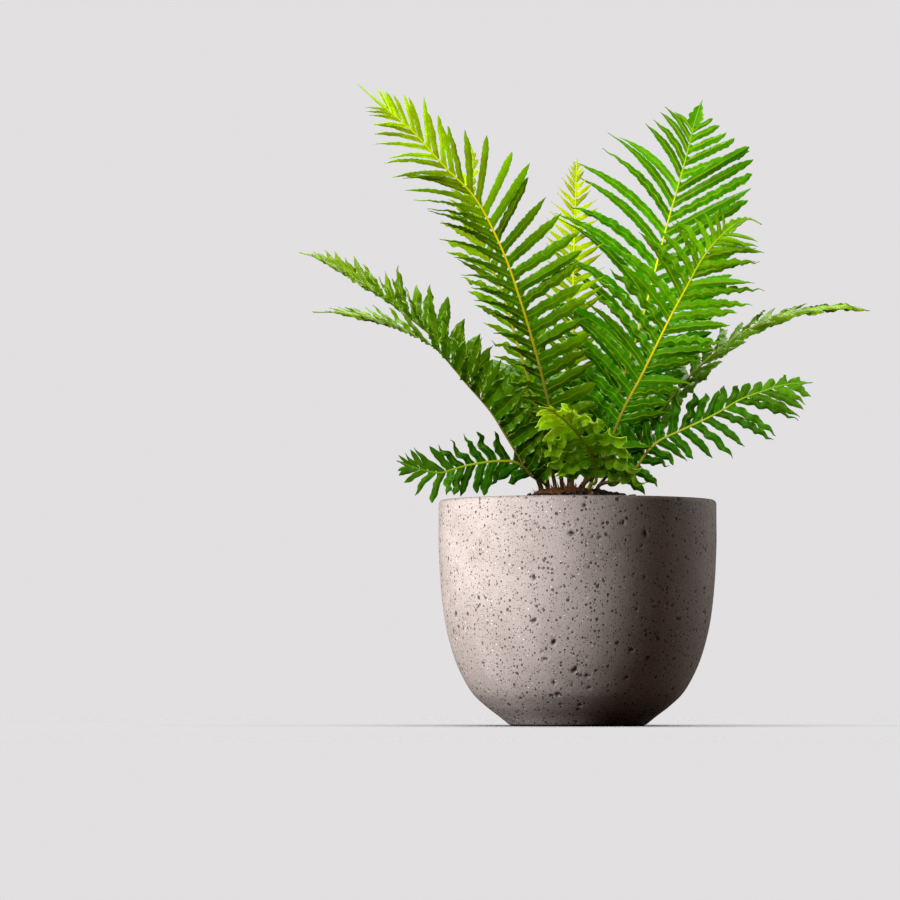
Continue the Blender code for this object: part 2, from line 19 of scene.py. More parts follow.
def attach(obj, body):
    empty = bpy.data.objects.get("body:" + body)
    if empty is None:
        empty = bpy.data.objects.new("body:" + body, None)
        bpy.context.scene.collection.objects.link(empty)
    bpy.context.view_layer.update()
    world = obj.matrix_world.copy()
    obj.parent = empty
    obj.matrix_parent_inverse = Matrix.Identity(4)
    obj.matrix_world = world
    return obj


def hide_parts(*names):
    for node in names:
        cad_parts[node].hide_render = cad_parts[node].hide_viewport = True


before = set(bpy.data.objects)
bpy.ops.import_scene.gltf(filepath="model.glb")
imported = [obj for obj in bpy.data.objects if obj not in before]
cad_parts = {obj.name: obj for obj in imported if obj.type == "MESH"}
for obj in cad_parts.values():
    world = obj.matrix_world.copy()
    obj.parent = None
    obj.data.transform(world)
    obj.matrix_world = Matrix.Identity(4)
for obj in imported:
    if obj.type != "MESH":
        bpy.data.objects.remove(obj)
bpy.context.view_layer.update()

MM = 0.001
scene = bpy.context.scene


# %% [markdown]
# ## Colours and shader nodes
# Colours are easiest to judge as the hex values of a colour picker. Shaders add up light, so they need
# linear values, and one function turns the first into the second. A second function adds a shader node. It
# takes the node's settings, and a value or a link for each input, so that a material reads as a short list.

# %% Helpers for colours and nodes
def linear(hex_colour):
    """A hex colour as the linear values, with alpha, that a shader takes."""
    values = [int(hex_colour[place:place + 2], 16) / 255 for place in (0, 2, 4)]
    return (*[v / 12.92 if v <= 0.04045 else ((v + 0.055) / 1.055) ** 2.4 for v in values], 1.0)


def add(tree, kind, inputs=None, stops=(), **settings):
    """A new shader node, with its settings, and the stops of its ramp as (place, hex colour) pairs.

    inputs gives each input, by its name or number, a value, an output, or a node for its first output in use.
    """
    made = tree.nodes.new("ShaderNode" + kind)
    for name, value in settings.items():
        setattr(made, name, value)
    for name, value in (inputs or {}).items():
        if isinstance(value, bpy.types.Node):
            value = next(output for output in value.outputs if output.enabled)
        if isinstance(value, bpy.types.NodeSocket):
            tree.links.new(value, made.inputs[name])
        else:
            made.inputs[name].default_value = value
    for _ in stops[2:]:
        made.color_ramp.elements.new(0.5)
    for index, (place, colour) in enumerate(stops):
        made.color_ramp.elements[index].position = place
        made.color_ramp.elements[index].color = linear(colour)
    return made


def new_material(name):
    made = bpy.data.materials.new(name)
    made.use_nodes = True
    made.node_tree.nodes.clear()
    return made, made.node_tree


print("white is", [round(value, 2) for value in linear("FFFFFF")])


# %% [markdown]
# ## Camera
# The plant was taken from far away with a long lens, a little above the foot of the pot, so that upright
# lines stay upright and the rim shows as a thin curve. It stands to the right of the picture's middle, so
# the camera looks past its left side.

# %% Camera
CAMERA_PLACE = Vector((0.0, -3.6, 0.022))
CAMERA_AIM = Vector((-0.0918, 0.0, 0.1984))
LENS = 200.0

camera = bpy.data.objects.new("camera", bpy.data.cameras.new("camera"))
camera.data.lens = LENS
camera.data.sensor_width = 36.0
camera.data.clip_end = 60.0
camera.location = CAMERA_PLACE
camera.rotation_euler = (CAMERA_AIM - CAMERA_PLACE).to_track_quat("-Z", "Y").to_euler()
scene.collection.objects.link(camera)
scene.camera = camera
scene.view_settings.view_transform = "Standard"
print("camera at", tuple(round(value, 2) for value in CAMERA_PLACE), "m")


# %% [markdown]
# ## Studio
# The backdrop is a plain pale grey, with no line where a wall meets a floor. A real studio bends a sheet of
# paper for that. Here the floor fades out some way from the pot, so that the plain world behind it takes
# over. The world has the backdrop's colour where it is seen, and gives the plant less light than that,
# because the shaded side of the pot is dark.
#
# A soft lamp close by on the left shapes the pot, and a weak one behind it on the right draws its other
# edge. The leaves are thin and let light through, so they look best in broad light from several sides. By
# light linking, each lamp lights only what it is meant for, and the paper gets an even light of its own.

# %% World and floor
BACKDROP = linear("E2E0E1")
DARK_PAPER = linear("5A4A3E")  # what the pot gets back from the paper
FILL_COLOUR = linear("FFDCB8")
FILL_LIGHT = 0.07
FLOOR_WIDTH = 8.0
FLOOR_FADE = (0.55, 1.5)  # where the floor starts to fade and where it has gone, in metres from the pot

world = bpy.data.worlds.new("studio")
world.use_nodes = True
scene.world = world
world.node_tree.nodes.clear()
seen = add(world.node_tree, "Background", {"Color": BACKDROP, "Strength": 1.0})
fill = add(world.node_tree, "Background", {"Color": FILL_COLOUR, "Strength": FILL_LIGHT})
camera_ray = add(world.node_tree, "LightPath").outputs["Is Camera Ray"]
both = add(world.node_tree, "MixShader", {0: camera_ray, 1: fill, 2: seen})
add(world.node_tree, "OutputWorld", {"Surface": both})


def floor_paper():
    """Pale matt paper that fades out with the distance from the pot, and throws little light back at it."""
    made, tree = new_material("pale_paper")
    place = add(tree, "TexCoord").outputs["Object"]
    far = add(tree, "VectorMath", {0: place}, operation="LENGTH")
    gone = add(tree, "MapRange", {"Value": far, "From Min": FLOOR_FADE[0], "From Max": FLOOR_FADE[1]},
               interpolation_type="SMOOTHERSTEP")
    seen_by = add(tree, "LightPath").outputs["Is Camera Ray"]
    tone = add(tree, "Mix", {0: seen_by, 6: DARK_PAPER, 7: BACKDROP}, data_type="RGBA")
    paper = add(tree, "BsdfDiffuse", {"Color": tone})
    shown = add(tree, "MixShader", {0: gone, 1: paper, 2: add(tree, "BsdfTransparent")})
    add(tree, "OutputMaterial", {"Surface": shown})
    return made


sheet = bmesh.new()
bmesh.ops.create_grid(sheet, x_segments=1, y_segments=1, size=FLOOR_WIDTH / 2)
floor_mesh = bpy.data.meshes.new("floor")
sheet.to_mesh(floor_mesh)
sheet.free()
floor_mesh.transform(Matrix.Translation((0.0, 0.0, -0.0002)))
floor_mesh.materials.append(floor_paper())
floor = bpy.data.objects.new("floor", floor_mesh)
print("floor fades between", FLOOR_FADE, "m")


# %% Lamps
def group(name):
    made = bpy.data.collections.new(name)
    scene.collection.children.link(made)
    return made


pot_group = group("pot_and_soil")
leaf_group = group("leaves")
floor_group = group("paper")
floor_group.objects.link(floor)


def lamp(name, turn, rise, distance, height, size, power, lights):
    """A soft square lamp. turn and rise are its directions in degrees, from the front and from level."""
    level = distance * math.cos(math.radians(rise))
    aim = Vector((0.0, 0.0, height))
    away = Vector((level * math.sin(math.radians(turn)), -level * math.cos(math.radians(turn)),
                   distance * math.sin(math.radians(rise))))
    made = bpy.data.objects.new(name, bpy.data.lights.new(name, "AREA"))
    made.data.shape = "SQUARE"
    made.data.size = size
    made.data.energy = power
    made.location = aim + away
    made.rotation_euler = away.to_track_quat("Z", "Y").to_euler()
    made.light_linking.receiver_collection = lights
    scene.collection.objects.link(made)
    return made


key = lamp("lamp_left", -53, 12, 0.5, 0.1, 0.25, 4.9, pot_group)
key.light_linking.blocker_collection = pot_group
lamp("lamp_right_edge", 120, 20, 0.8, 0.1, 0.4, 2.3, pot_group)
lamp("lamp_leaves_front", -15, 30, 2.2, 0.28, 1.0, 60.0, leaf_group)
lamp("lamp_leaves_left", -75, 25, 1.4, 0.28, 0.8, 18.0, leaf_group)
lamp("lamp_leaves_over", 170, 65, 1.6, 0.28, 1.2, 40.0, leaf_group)

sun = bpy.data.objects.new("even_light", bpy.data.lights.new("even_light", "SUN"))
sun.data.energy = math.pi
sun.data.color = [1.0 - FILL_LIGHT * part for part in FILL_COLOUR[:3]]
sun.data.angle = math.radians(60)
sun.light_linking.receiver_collection = floor_group
scene.collection.objects.link(sun)


# %% [markdown]
# ## From a bmesh to a finished piece
# Every piece below is shaped in a bmesh, in millimetres, where it stands. One function scales it to metres,
# makes its mesh, smooths it up to a given angle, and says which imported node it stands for.

# %% Finishing a piece
def make_mesh(name, shape, paints):
    """A mesh in metres from a bmesh in millimetres, which is freed."""
    bmesh.ops.scale(shape, vec=(MM, MM, MM), verts=shape.verts[:])
    mesh = bpy.data.meshes.new(name)
    shape.to_mesh(mesh)
    shape.free()
    for paint in paints:
        mesh.materials.append(paint)
    return mesh


def finished(name, mesh, node, smooth_to=40.0, place_in=pot_group):
    """The object of a mesh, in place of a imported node."""
    mesh.shade_smooth()
    mesh.set_sharp_from_angle(angle=math.radians(smooth_to))
    made = bpy.data.objects.new(name, mesh)
    place_in.objects.link(made)
    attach(made, "root")
    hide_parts(node)
    triangles = sum(len(face.vertices) - 2 for face in mesh.polygons)
    print(f"{name}: {triangles} triangles")
    return made


def applied(made):
    """The object with its modifiers worked into its mesh."""
    graph = bpy.context.evaluated_depsgraph_get()
    mesh = bpy.data.meshes.new_from_object(made.evaluated_get(graph))
    made.modifiers.clear()
    made.data = mesh
    return mesh


# %% [markdown]
# ## Smooth lines
# The pot's side and every stalk follow a smooth line through a few points. This class bends a Bezier curve
# through them and measures it, and can then be asked for the place and direction at any share of its length.

# %% A smooth line
class Line:
    """A smooth line through points, asked for its place and direction by the share of its length."""

    def __init__(self, points):
        ends = [points[0] * 2 - points[1]] + points + [points[-1] * 2 - points[-2]]
        self.points = [points[0]]
        for before, start, end, after in zip(ends, ends[1:], ends[2:], ends[3:]):
            pull = (end - start).length * 0.33
            first = start + (end - before).normalized() * pull
            second = end - (after - start).normalized() * pull
            self.points += geometry.interpolate_bezier(start, first, second, end, 9)[1:]
        self.lengths = [0.0]
        for start, end in zip(self.points, self.points[1:]):
            self.lengths.append(self.lengths[-1] + (end - start).length)
        self.length = self.lengths[-1]

    def place(self, share):
        reach = min(max(share, 0.0), 1.0) * self.length
        index = 1
        while index < len(self.lengths) - 1 and self.lengths[index] < reach:
            index += 1
        span = self.lengths[index] - self.lengths[index - 1]
        return self.points[index - 1].lerp(self.points[index], (reach - self.lengths[index - 1]) / span)

    def direction(self, share):
        low = max(share - 0.01, 0.0)
        high = min(share + 0.01, 1.0)
        return (self.place(high) - self.place(low)).normalized()


print("a straight line's middle:", Line([Vector((0, 0, 0)), Vector((2, 0, 0)), Vector((4, 0, 0))]).place(0.5))


# %% [markdown]
# ## Cast stone
# The pot is cast stone: cement with crushed stone and glass fibre, pressed in a mould and rubbed down. It is
# matt and warm grey, and its grain is finer than a millimetre. Air bubbles leave open pores in it, and black
# and pale grit shows here and there. Noise gives the grain, three sizes of Voronoi cells give the smaller
# pores, which are painted near black as painted shade in the holes, and one more gives the pale grit. The
# largest pores are real dents, which carry their depth in an attribute, and that depth paints them darker
# too, as painted shade.

# %% Cast stone material
GRAIN = 0.8  # sizes and spacings in mm
CLOUDS = 30.0
PORES = ((1.5, 0.5), (3.0, 1.0), (7.0, 1.7))  # spacing, radius
GRIT = (3.2, 0.5)
RAGGED = 0.9  # how far a pore's outline strays


def per_mm(size):
    """The texture scale that gives a pattern of this size in mm, on coordinates in metres."""
    return 1.0 / (size * MM)


def spots(tree, place, spacing, radius, seed):
    """A mask of irregular spots: 1 in a spot and 0 outside it. Their sizes differ from cell to cell."""
    moved = add(tree, "VectorMath", {0: place, 1: (seed, seed * 0.7, seed * 1.3)})
    cells = add(tree, "TexVoronoi", {"Vector": moved, "Scale": per_mm(spacing)})
    chance = add(tree, "SeparateColor", {0: cells.outputs["Color"]})
    size = add(tree, "Math", {0: chance, 1: radius / spacing}, operation="MULTIPLY")
    inside = add(tree, "Math", {0: size, 1: cells.outputs["Distance"]}, operation="SUBTRACT")
    return add(tree, "MapRange", {"Value": inside, "From Min": -0.02, "From Max": 0.05})


def cast_stone():
    made, tree = new_material("cast_stone")
    place = add(tree, "TexCoord").outputs["Object"]
    shake = add(tree, "TexNoise", {"Vector": place, "Scale": per_mm(1.6), "Detail": 2.0}).outputs["Color"]
    ragged = add(tree, "VectorMath", {0: shake, 1: (RAGGED * MM,) * 3, 2: place}, operation="MULTIPLY_ADD")
    grain = add(tree, "TexNoise", {"Vector": place, "Scale": per_mm(GRAIN), "Detail": 3.0})
    cloud = add(tree, "TexNoise", {"Vector": place, "Scale": per_mm(CLOUDS), "Detail": 4.0})
    darker = add(tree, "ValToRGB", {0: cloud}, ((0.35, "6C605A"), (0.65, "7A6F69")))
    paler = add(tree, "ValToRGB", {0: cloud}, ((0.35, "AEA39E"), (0.65, "BBB0AC")))
    stone = add(tree, "Mix", {0: grain, 6: darker, 7: paler}, data_type="RGBA")
    gritty = add(tree, "Mix", {0: spots(tree, place, *GRIT, 3.1), 6: stone, 7: linear("E9E2DB")},
                 data_type="RGBA")
    # Pores, and the pushed-in dents by their depth, are painted near black: painted shade in the holes.
    holes = 0.0
    for index, (spacing, radius) in enumerate(PORES):
        pore = spots(tree, ragged, spacing, radius, index + 0.4)
        holes = add(tree, "Math", {0: pore, 1: holes}, operation="MAXIMUM")
    pressed = add(tree, "Attribute", attribute_name="pit").outputs["Fac"]
    shaded = add(tree, "Math", {0: holes, 1: 0.82}, operation="MULTIPLY")
    dark = add(tree, "Math", {0: shaded, 1: pressed}, operation="MAXIMUM")
    colour = add(tree, "Mix", {0: dark, 6: gritty, 7: linear("17120F")}, data_type="RGBA")
    height = add(tree, "Math", {0: grain, 1: 0.35}, operation="MULTIPLY")
    height = add(tree, "Math", {0: height, 1: holes}, operation="SUBTRACT")
    bump = add(tree, "Bump", {"Height": height, "Strength": 0.7, "Distance": 0.4 * MM})
    surface = add(tree, "BsdfPrincipled", {"Base Color": colour, "Roughness": 0.72, "IOR": 1.5,
                                           "Specular IOR Level": 0.35, "Normal": bump})
    add(tree, "OutputMaterial", {"Surface": surface})
    return made


print("pores (spacing, radius) in mm:", PORES)


# %% [markdown]
# ## Pot
# A bowl pot is a turned shape. Its side is drawn once as a line, from the middle of the foot up over the
# round rim and down the inside, and a bmesh spin carries it round the axis. The spin is fine enough for the
# pores, which are pushed in where a seeded draw puts them. Cylinders cut the drain holes.

# %% Pot sizes and outline
POT_SIDE = [(48.5, 0.0), (55.8, 6.0), (66.2, 14.0), (76.3, 24.0), (85.7, 41.0), (91.6, 58.0), (95.8, 77.0),
            (98.6, 102.0), (100.0, 130.0), (100.0, 148.0), (100.0, 159.0)]
POT_RADIUS = 100.0
POT_HEIGHT = 162.0
POT_WALL = 9.0
POT_INSIDE = POT_RADIUS - POT_WALL
POT_FLOOR = 12.0
RIM_ROUND = 3.0
FOOT_ROUND = 1.2
INNER_HEIGHTS = (130.0, 102.0, 77.0, 58.0, 41.0, 24.0)
FLOOR_CORNER = 10.0
DRAIN_RADIUS = 5.0
DRAIN_CENTRES = 28.0
DRAINS = 3
POT_STEPS = 480
SIDE_STEP = 1.4  # between the rings of the pot's side
GAP = 0.3  # between pieces that touch


def inner_radius(height):
    """The inner side of the wall at a height, a wall's thickness in from the outer side."""
    for (low_radius, low), (high_radius, high) in zip(POT_SIDE, POT_SIDE[1:]):
        if low <= height <= high:
            return low_radius + (high_radius - low_radius) * (height - low) / (high - low) - POT_WALL
    return POT_INSIDE


def arc(centre, radius, start, end, steps):
    """Points of an arc in the pot's section, between two angles in degrees."""
    angles = [math.radians(start + (end - start) * step / steps) for step in range(steps + 1)]
    return [(centre[0] + radius * math.cos(a), centre[1] + radius * math.sin(a)) for a in angles]


def pot_outline():
    """Half of the pot's section: along the foot, up the side, over the rim and down the inside."""
    side = Line([Vector((radius, 0.0, height)) for radius, height in POT_SIDE])
    steps = round(side.length / SIDE_STEP)
    outside = [side.place(step / steps) for step in range(1, steps)]
    shoulder = POT_HEIGHT - RIM_ROUND
    foot = [(0.0, 0.0), (20.0, 0.0), (36.0, 0.0), (POT_SIDE[0][0] - FOOT_ROUND, 0.0)]
    rim = arc((POT_RADIUS - RIM_ROUND, shoulder), RIM_ROUND, 0, 90, 6)
    rim += arc((POT_INSIDE + RIM_ROUND, shoulder), RIM_ROUND, 90, 180, 6)
    inside = [(POT_INSIDE, height) for height in (157.5, 156.0, 154.5, 153.0)]
    inside += [(inner_radius(height), height) for height in INNER_HEIGHTS]
    base = [(inside[-1][0] - FLOOR_CORNER, POT_FLOOR), (20.0, POT_FLOOR), (0.0, POT_FLOOR)]
    return foot + [(point.x, point.z) for point in outside] + rim + inside + base


print("outline of the pot:", len(pot_outline()), "points")


# %% Turning an outline
def turned(outline, steps):
    """A closed turned shape, from an outline that starts and ends on the axis."""
    shape = bmesh.new()
    points = [shape.verts.new((radius, 0.0, height)) for radius, height in outline]
    edges = [shape.edges.new(pair) for pair in zip(points, points[1:])]
    bmesh.ops.spin(shape, geom=points + edges, cent=(0, 0, 0), axis=(0, 0, 1), angle=math.tau, steps=steps,
                   use_merge=True)
    bmesh.ops.remove_doubles(shape, verts=shape.verts[:], dist=0.001)
    bmesh.ops.recalc_face_normals(shape, faces=shape.faces[:])
    return shape


def peg(centre, radius, bottom, top, sides):
    """An upright cylinder that cuts a hole."""
    shape = bmesh.new()
    bmesh.ops.create_cone(shape, cap_ends=True, segments=sides, radius1=radius, radius2=radius,
                          depth=top - bottom, matrix=Matrix.Translation((*centre, (bottom + top) / 2)))
    made = bpy.data.objects.new("cutter", make_mesh("cutter", shape, []))
    scene.collection.objects.link(made)
    return made


def cut(mesh, pegs):
    """The mesh with each peg's shape taken out of it."""
    made = bpy.data.objects.new("blank", mesh)
    scene.collection.objects.link(made)
    for cutter in pegs:
        hole = made.modifiers.new("Hole", "BOOLEAN")
        hole.operation = "DIFFERENCE"
        hole.solver = "MANIFOLD"
        hole.object = cutter
    mesh = applied(made)
    for thing in [made, *pegs]:
        bpy.data.objects.remove(thing)
    return mesh


# %% Pores pressed into the pot
PITS = 300
PIT_SIZES = (0.7, 1.7)  # radius
PIT_DEPTH = 0.9  # as a share of the radius


def press_pits(mesh):
    """Pushes in small pores at random places on the outside and the rim, and marks how deep each point lies."""
    draw = random.Random("pores")
    depths = mesh.attributes.new("pit", "FLOAT", "POINT").data
    outer = [vertex for vertex in mesh.vertices if vertex.co.xy.length > (POT_INSIDE - 1.0) * MM
             or vertex.normal.xy.length > 0.2 and vertex.co.xy.dot(vertex.normal.xy) > 0]
    tree = KDTree(len(outer))
    for index, vertex in enumerate(outer):
        tree.insert(vertex.co, index)
    tree.balance()
    moves = {}
    for _ in range(PITS):
        centre = draw.choice(outer)
        radius = PIT_SIZES[0] + (PIT_SIZES[1] - PIT_SIZES[0]) * draw.random() ** 3
        longer = draw.uniform(1.0, 1.9)
        lean = draw.uniform(0, math.pi)
        sideways = centre.normal.cross(Vector((0, 0, 1))).normalized()
        long_way = sideways * math.cos(lean) + Vector((0, 0, 1)) * math.sin(lean)
        for place, index, _ in tree.find_range(centre.co, radius * longer * MM):
            away = (place - centre.co) / MM
            run = away.dot(long_way)
            rest = math.sqrt(max(away.length_squared - run * run, 0.0))
            reach = math.hypot(run / longer, rest) / radius
            if reach < 1:
                moves[index] = max(moves.get(index, 0.0), (1 - reach ** 2) * radius * PIT_DEPTH)
    inward = {index: outer[index].normal.copy() for index in moves}
    for index, depth in moves.items():
        outer[index].co -= inward[index] * depth * MM
        # This depth also paints the dent darker in the stone's material: painted shade.
        depths[outer[index].index].value = min(1.0, depth / 0.7)
    print("points in pores:", len(moves))


# %% Build the pot
def pot():
    mesh = make_mesh("pot_shape", turned(pot_outline(), POT_STEPS), [cast_stone()])
    pegs = []
    for index in range(DRAINS):
        angle = math.tau * index / DRAINS
        centre = (DRAIN_CENTRES * math.cos(angle), DRAIN_CENTRES * math.sin(angle))
        pegs.append(peg(centre, DRAIN_RADIUS, -5.0, POT_FLOOR + 5.0, 48))
    mesh = cut(mesh, pegs)
    press_pits(mesh)
    return finished("bowl_pot", mesh, "pot")


pot()


# %% [markdown]
# ## Potting mix
# Potting mix is peat with crumbs and chips of bark. The bed is a turned disc that rises a little round the
# crown, and noise makes it lumpy. Crumbs are small rough balls with twenty faces each, and the bark chips are
# flattened boxes, both scattered by a seeded draw and half sunk. They are one piece with the bed.

# %% Damp peat and bark materials
SOIL_EDGE = 154.0
SOIL_MOUND = 170.5
CROWN_CENTRE = (-6.0, 0.0)
CROWN_RADIUS = 27.0
CROWN_BOTTOM = 148.0
CROWN_SHOULDER = 166.0
CROWN_TOP = 171.0
CROWN_SIDES = 72
OVER_CROWN = 190.0
SOCKET_BOTTOM = 155.0
STALK_CLEARANCE = 2.7


def earthy(name, dark, pale, size, roughness):
    """A matt brown material with a mottled colour, for peat, bark and dry scales."""
    made, tree = new_material(name)
    place = add(tree, "TexCoord").outputs["Object"]
    fine = add(tree, "TexNoise", {"Vector": place, "Scale": per_mm(size), "Detail": 6.0})
    wide = add(tree, "TexNoise", {"Vector": place, "Scale": per_mm(size * 5), "Detail": 2.0})
    strong = add(tree, "ValToRGB", {0: fine}, ((0.35, dark), (0.7, pale)))
    weak = add(tree, "ValToRGB", {0: fine}, ((0.3, dark), (0.9, pale)))
    colour = add(tree, "Mix", {0: wide, 6: strong, 7: weak}, data_type="RGBA")
    bump = add(tree, "Bump", {"Height": fine, "Strength": 0.8, "Distance": 0.5 * MM})
    surface = add(tree, "BsdfPrincipled", {"Base Color": colour, "Roughness": roughness, "IOR": 1.45,
                                           "Specular IOR Level": 0.3, "Normal": bump})
    add(tree, "OutputMaterial", {"Surface": surface})
    return made


peat = earthy("damp_peat", "120B07", "3A271A", 1.2, 0.95)
bark = earthy("bark_chips", "24140B", "6E4A2E", 2.0, 0.85)
scales_brown = earthy("dry_fern_scales", "2A1508", "7A4A24", 1.5, 0.7)
print("materials:", [paint.name for paint in (peat, bark, scales_brown)])


# %% Crumbs and chips
CRUMBS = 1100
CHIPS = 150
ROUGH_SHIFTS = (Vector((9.3, -1.5, -7.9)), Vector((0.0, 0.0, 0.0)), Vector((6.3, 11.1, -3.4)))


def soil_height(radius):
    """Level at the wall, and rising in a smooth mound towards the crown."""
    share = min(1.0, radius / POT_INSIDE)
    return SOIL_EDGE + (SOIL_MOUND - SOIL_EDGE) * (0.5 + 0.5 * math.cos(math.pi * share))


def lumps(x, y):
    """How far the crumbs raise the soil at a place."""
    broad = 0.7 * math.sin(x / 6.1 + 1.3 * math.sin(y / 9.0)) + 0.6 * math.cos(y / 5.3 - x / 11.0)
    return broad + 0.8 * noise.noise(Vector((x, y, 0)) / 2.4) + 0.4 * noise.noise(Vector((x, y, 9)) / 1.1)


def scatter_place(draw, lowest):
    """A random place on the soil, off the crown: its middle, a little sunk."""
    while True:
        angle = draw.uniform(0, math.tau)
        radius = (POT_INSIDE - 5.0) * math.sqrt(draw.random())
        x = radius * math.cos(angle)
        y = radius * math.sin(angle)
        if math.hypot(x - CROWN_CENTRE[0], y - CROWN_CENTRE[1]) > CROWN_RADIUS + lowest:
            return Vector((x, y, soil_height(radius) + lumps(x, y)))


def scatter(shape, draw):
    for index in range(CRUMBS + CHIPS):
        chip = index >= CRUMBS
        size = draw.uniform(1.6, 4.2) if chip else 0.5 + 1.3 * draw.random() ** 2
        flat = Vector((size, size * draw.uniform(0.35, 0.7), size * draw.uniform(0.18, 0.3)) if chip
                      else (size * draw.uniform(0.7, 1.4), size, size * draw.uniform(0.6, 1.0)))
        lean = Euler((draw.uniform(-0.5, 0.5), draw.uniform(-0.5, 0.5), draw.uniform(0, math.tau)))
        turn = Matrix.LocRotScale(scatter_place(draw, size), lean, flat)
        if chip:
            verts = bmesh.ops.create_cube(shape, size=2.0, matrix=turn)["verts"]
        else:
            verts = bmesh.ops.create_icosphere(shape, subdivisions=1, radius=1.0, matrix=turn)["verts"]
        for vert in verts:
            vert.co += Vector([noise.noise(vert.co * 1.7 + shift) for shift in ROUGH_SHIFTS]) * size * 0.3
        for face in dict.fromkeys(face for vert in verts for face in vert.link_faces):
            face.material_index = 1 if chip or draw.random() < 0.02 else 0


# %% Build the soil
def soil():
    """The bed, cut to take the crown, with its crumbs and chips on it."""
    wall = [(inner_radius(height) - GAP, height) for height in reversed(INNER_HEIGHTS)]
    bottom = [(0.0, POT_FLOOR + GAP), (wall[0][0] - FLOOR_CORNER, POT_FLOOR + GAP)]
    edge = POT_INSIDE - GAP
    rings = 52
    top = [(edge * (1 - ring / rings), soil_height(edge * (1 - ring / rings))) for ring in range(rings + 1)]
    shape = turned(bottom + wall + top, 200)
    for vert in shape.verts:
        radius = vert.co.xy.length
        if vert.co.z > SOIL_EDGE - 1.0 and radius < edge - 1.0:
            vert.co.z += lumps(vert.co.x, vert.co.y)
    bed = make_mesh("bed", shape, [peat, bark])
    bed = cut(bed, [peg(CROWN_CENTRE, CROWN_RADIUS + GAP, CROWN_BOTTOM - GAP, OVER_CROWN, CROWN_SIDES)])
    shape = bmesh.new()
    shape.from_mesh(bed)
    bmesh.ops.scale(shape, vec=(1 / MM, 1 / MM, 1 / MM), verts=shape.verts[:])
    scatter(shape, random.Random("crumbs"))
    return finished("potting_mix", make_mesh("potting_mix", shape, [peat, bark]), "soil", 60.0)


soil()


# %% [markdown]
# ## The frond table
# Each frond is described as a grower would see it: where it stands, the way its stalk runs, the way its
# upper side faces, and how its two rows of leaflets change from the lowest pair to the top. The table is the
# same as the imported model's, so that the fine fronds lie where its plain ones do. One field more, leaf,
# names the finish that says how pointed the leaflets of each row are, and how much their edges ripple.

# %% Frond table
# In a row, length is in mm, and each list runs from the lowest leaflet to the top one. sweep is the angle
# from the midrib, lift the angle out of the frond's plane, tilt the turn of the blade about its own midrib,
# bend the outward curve and sag the fall of the tip, in degrees.
Row = namedtuple("Row", "length sweep lift tilt bend sag broad")
Frond = namedtuple("Frond", "name foot path face bare pairs crowding tip lobe wave left right leaf")

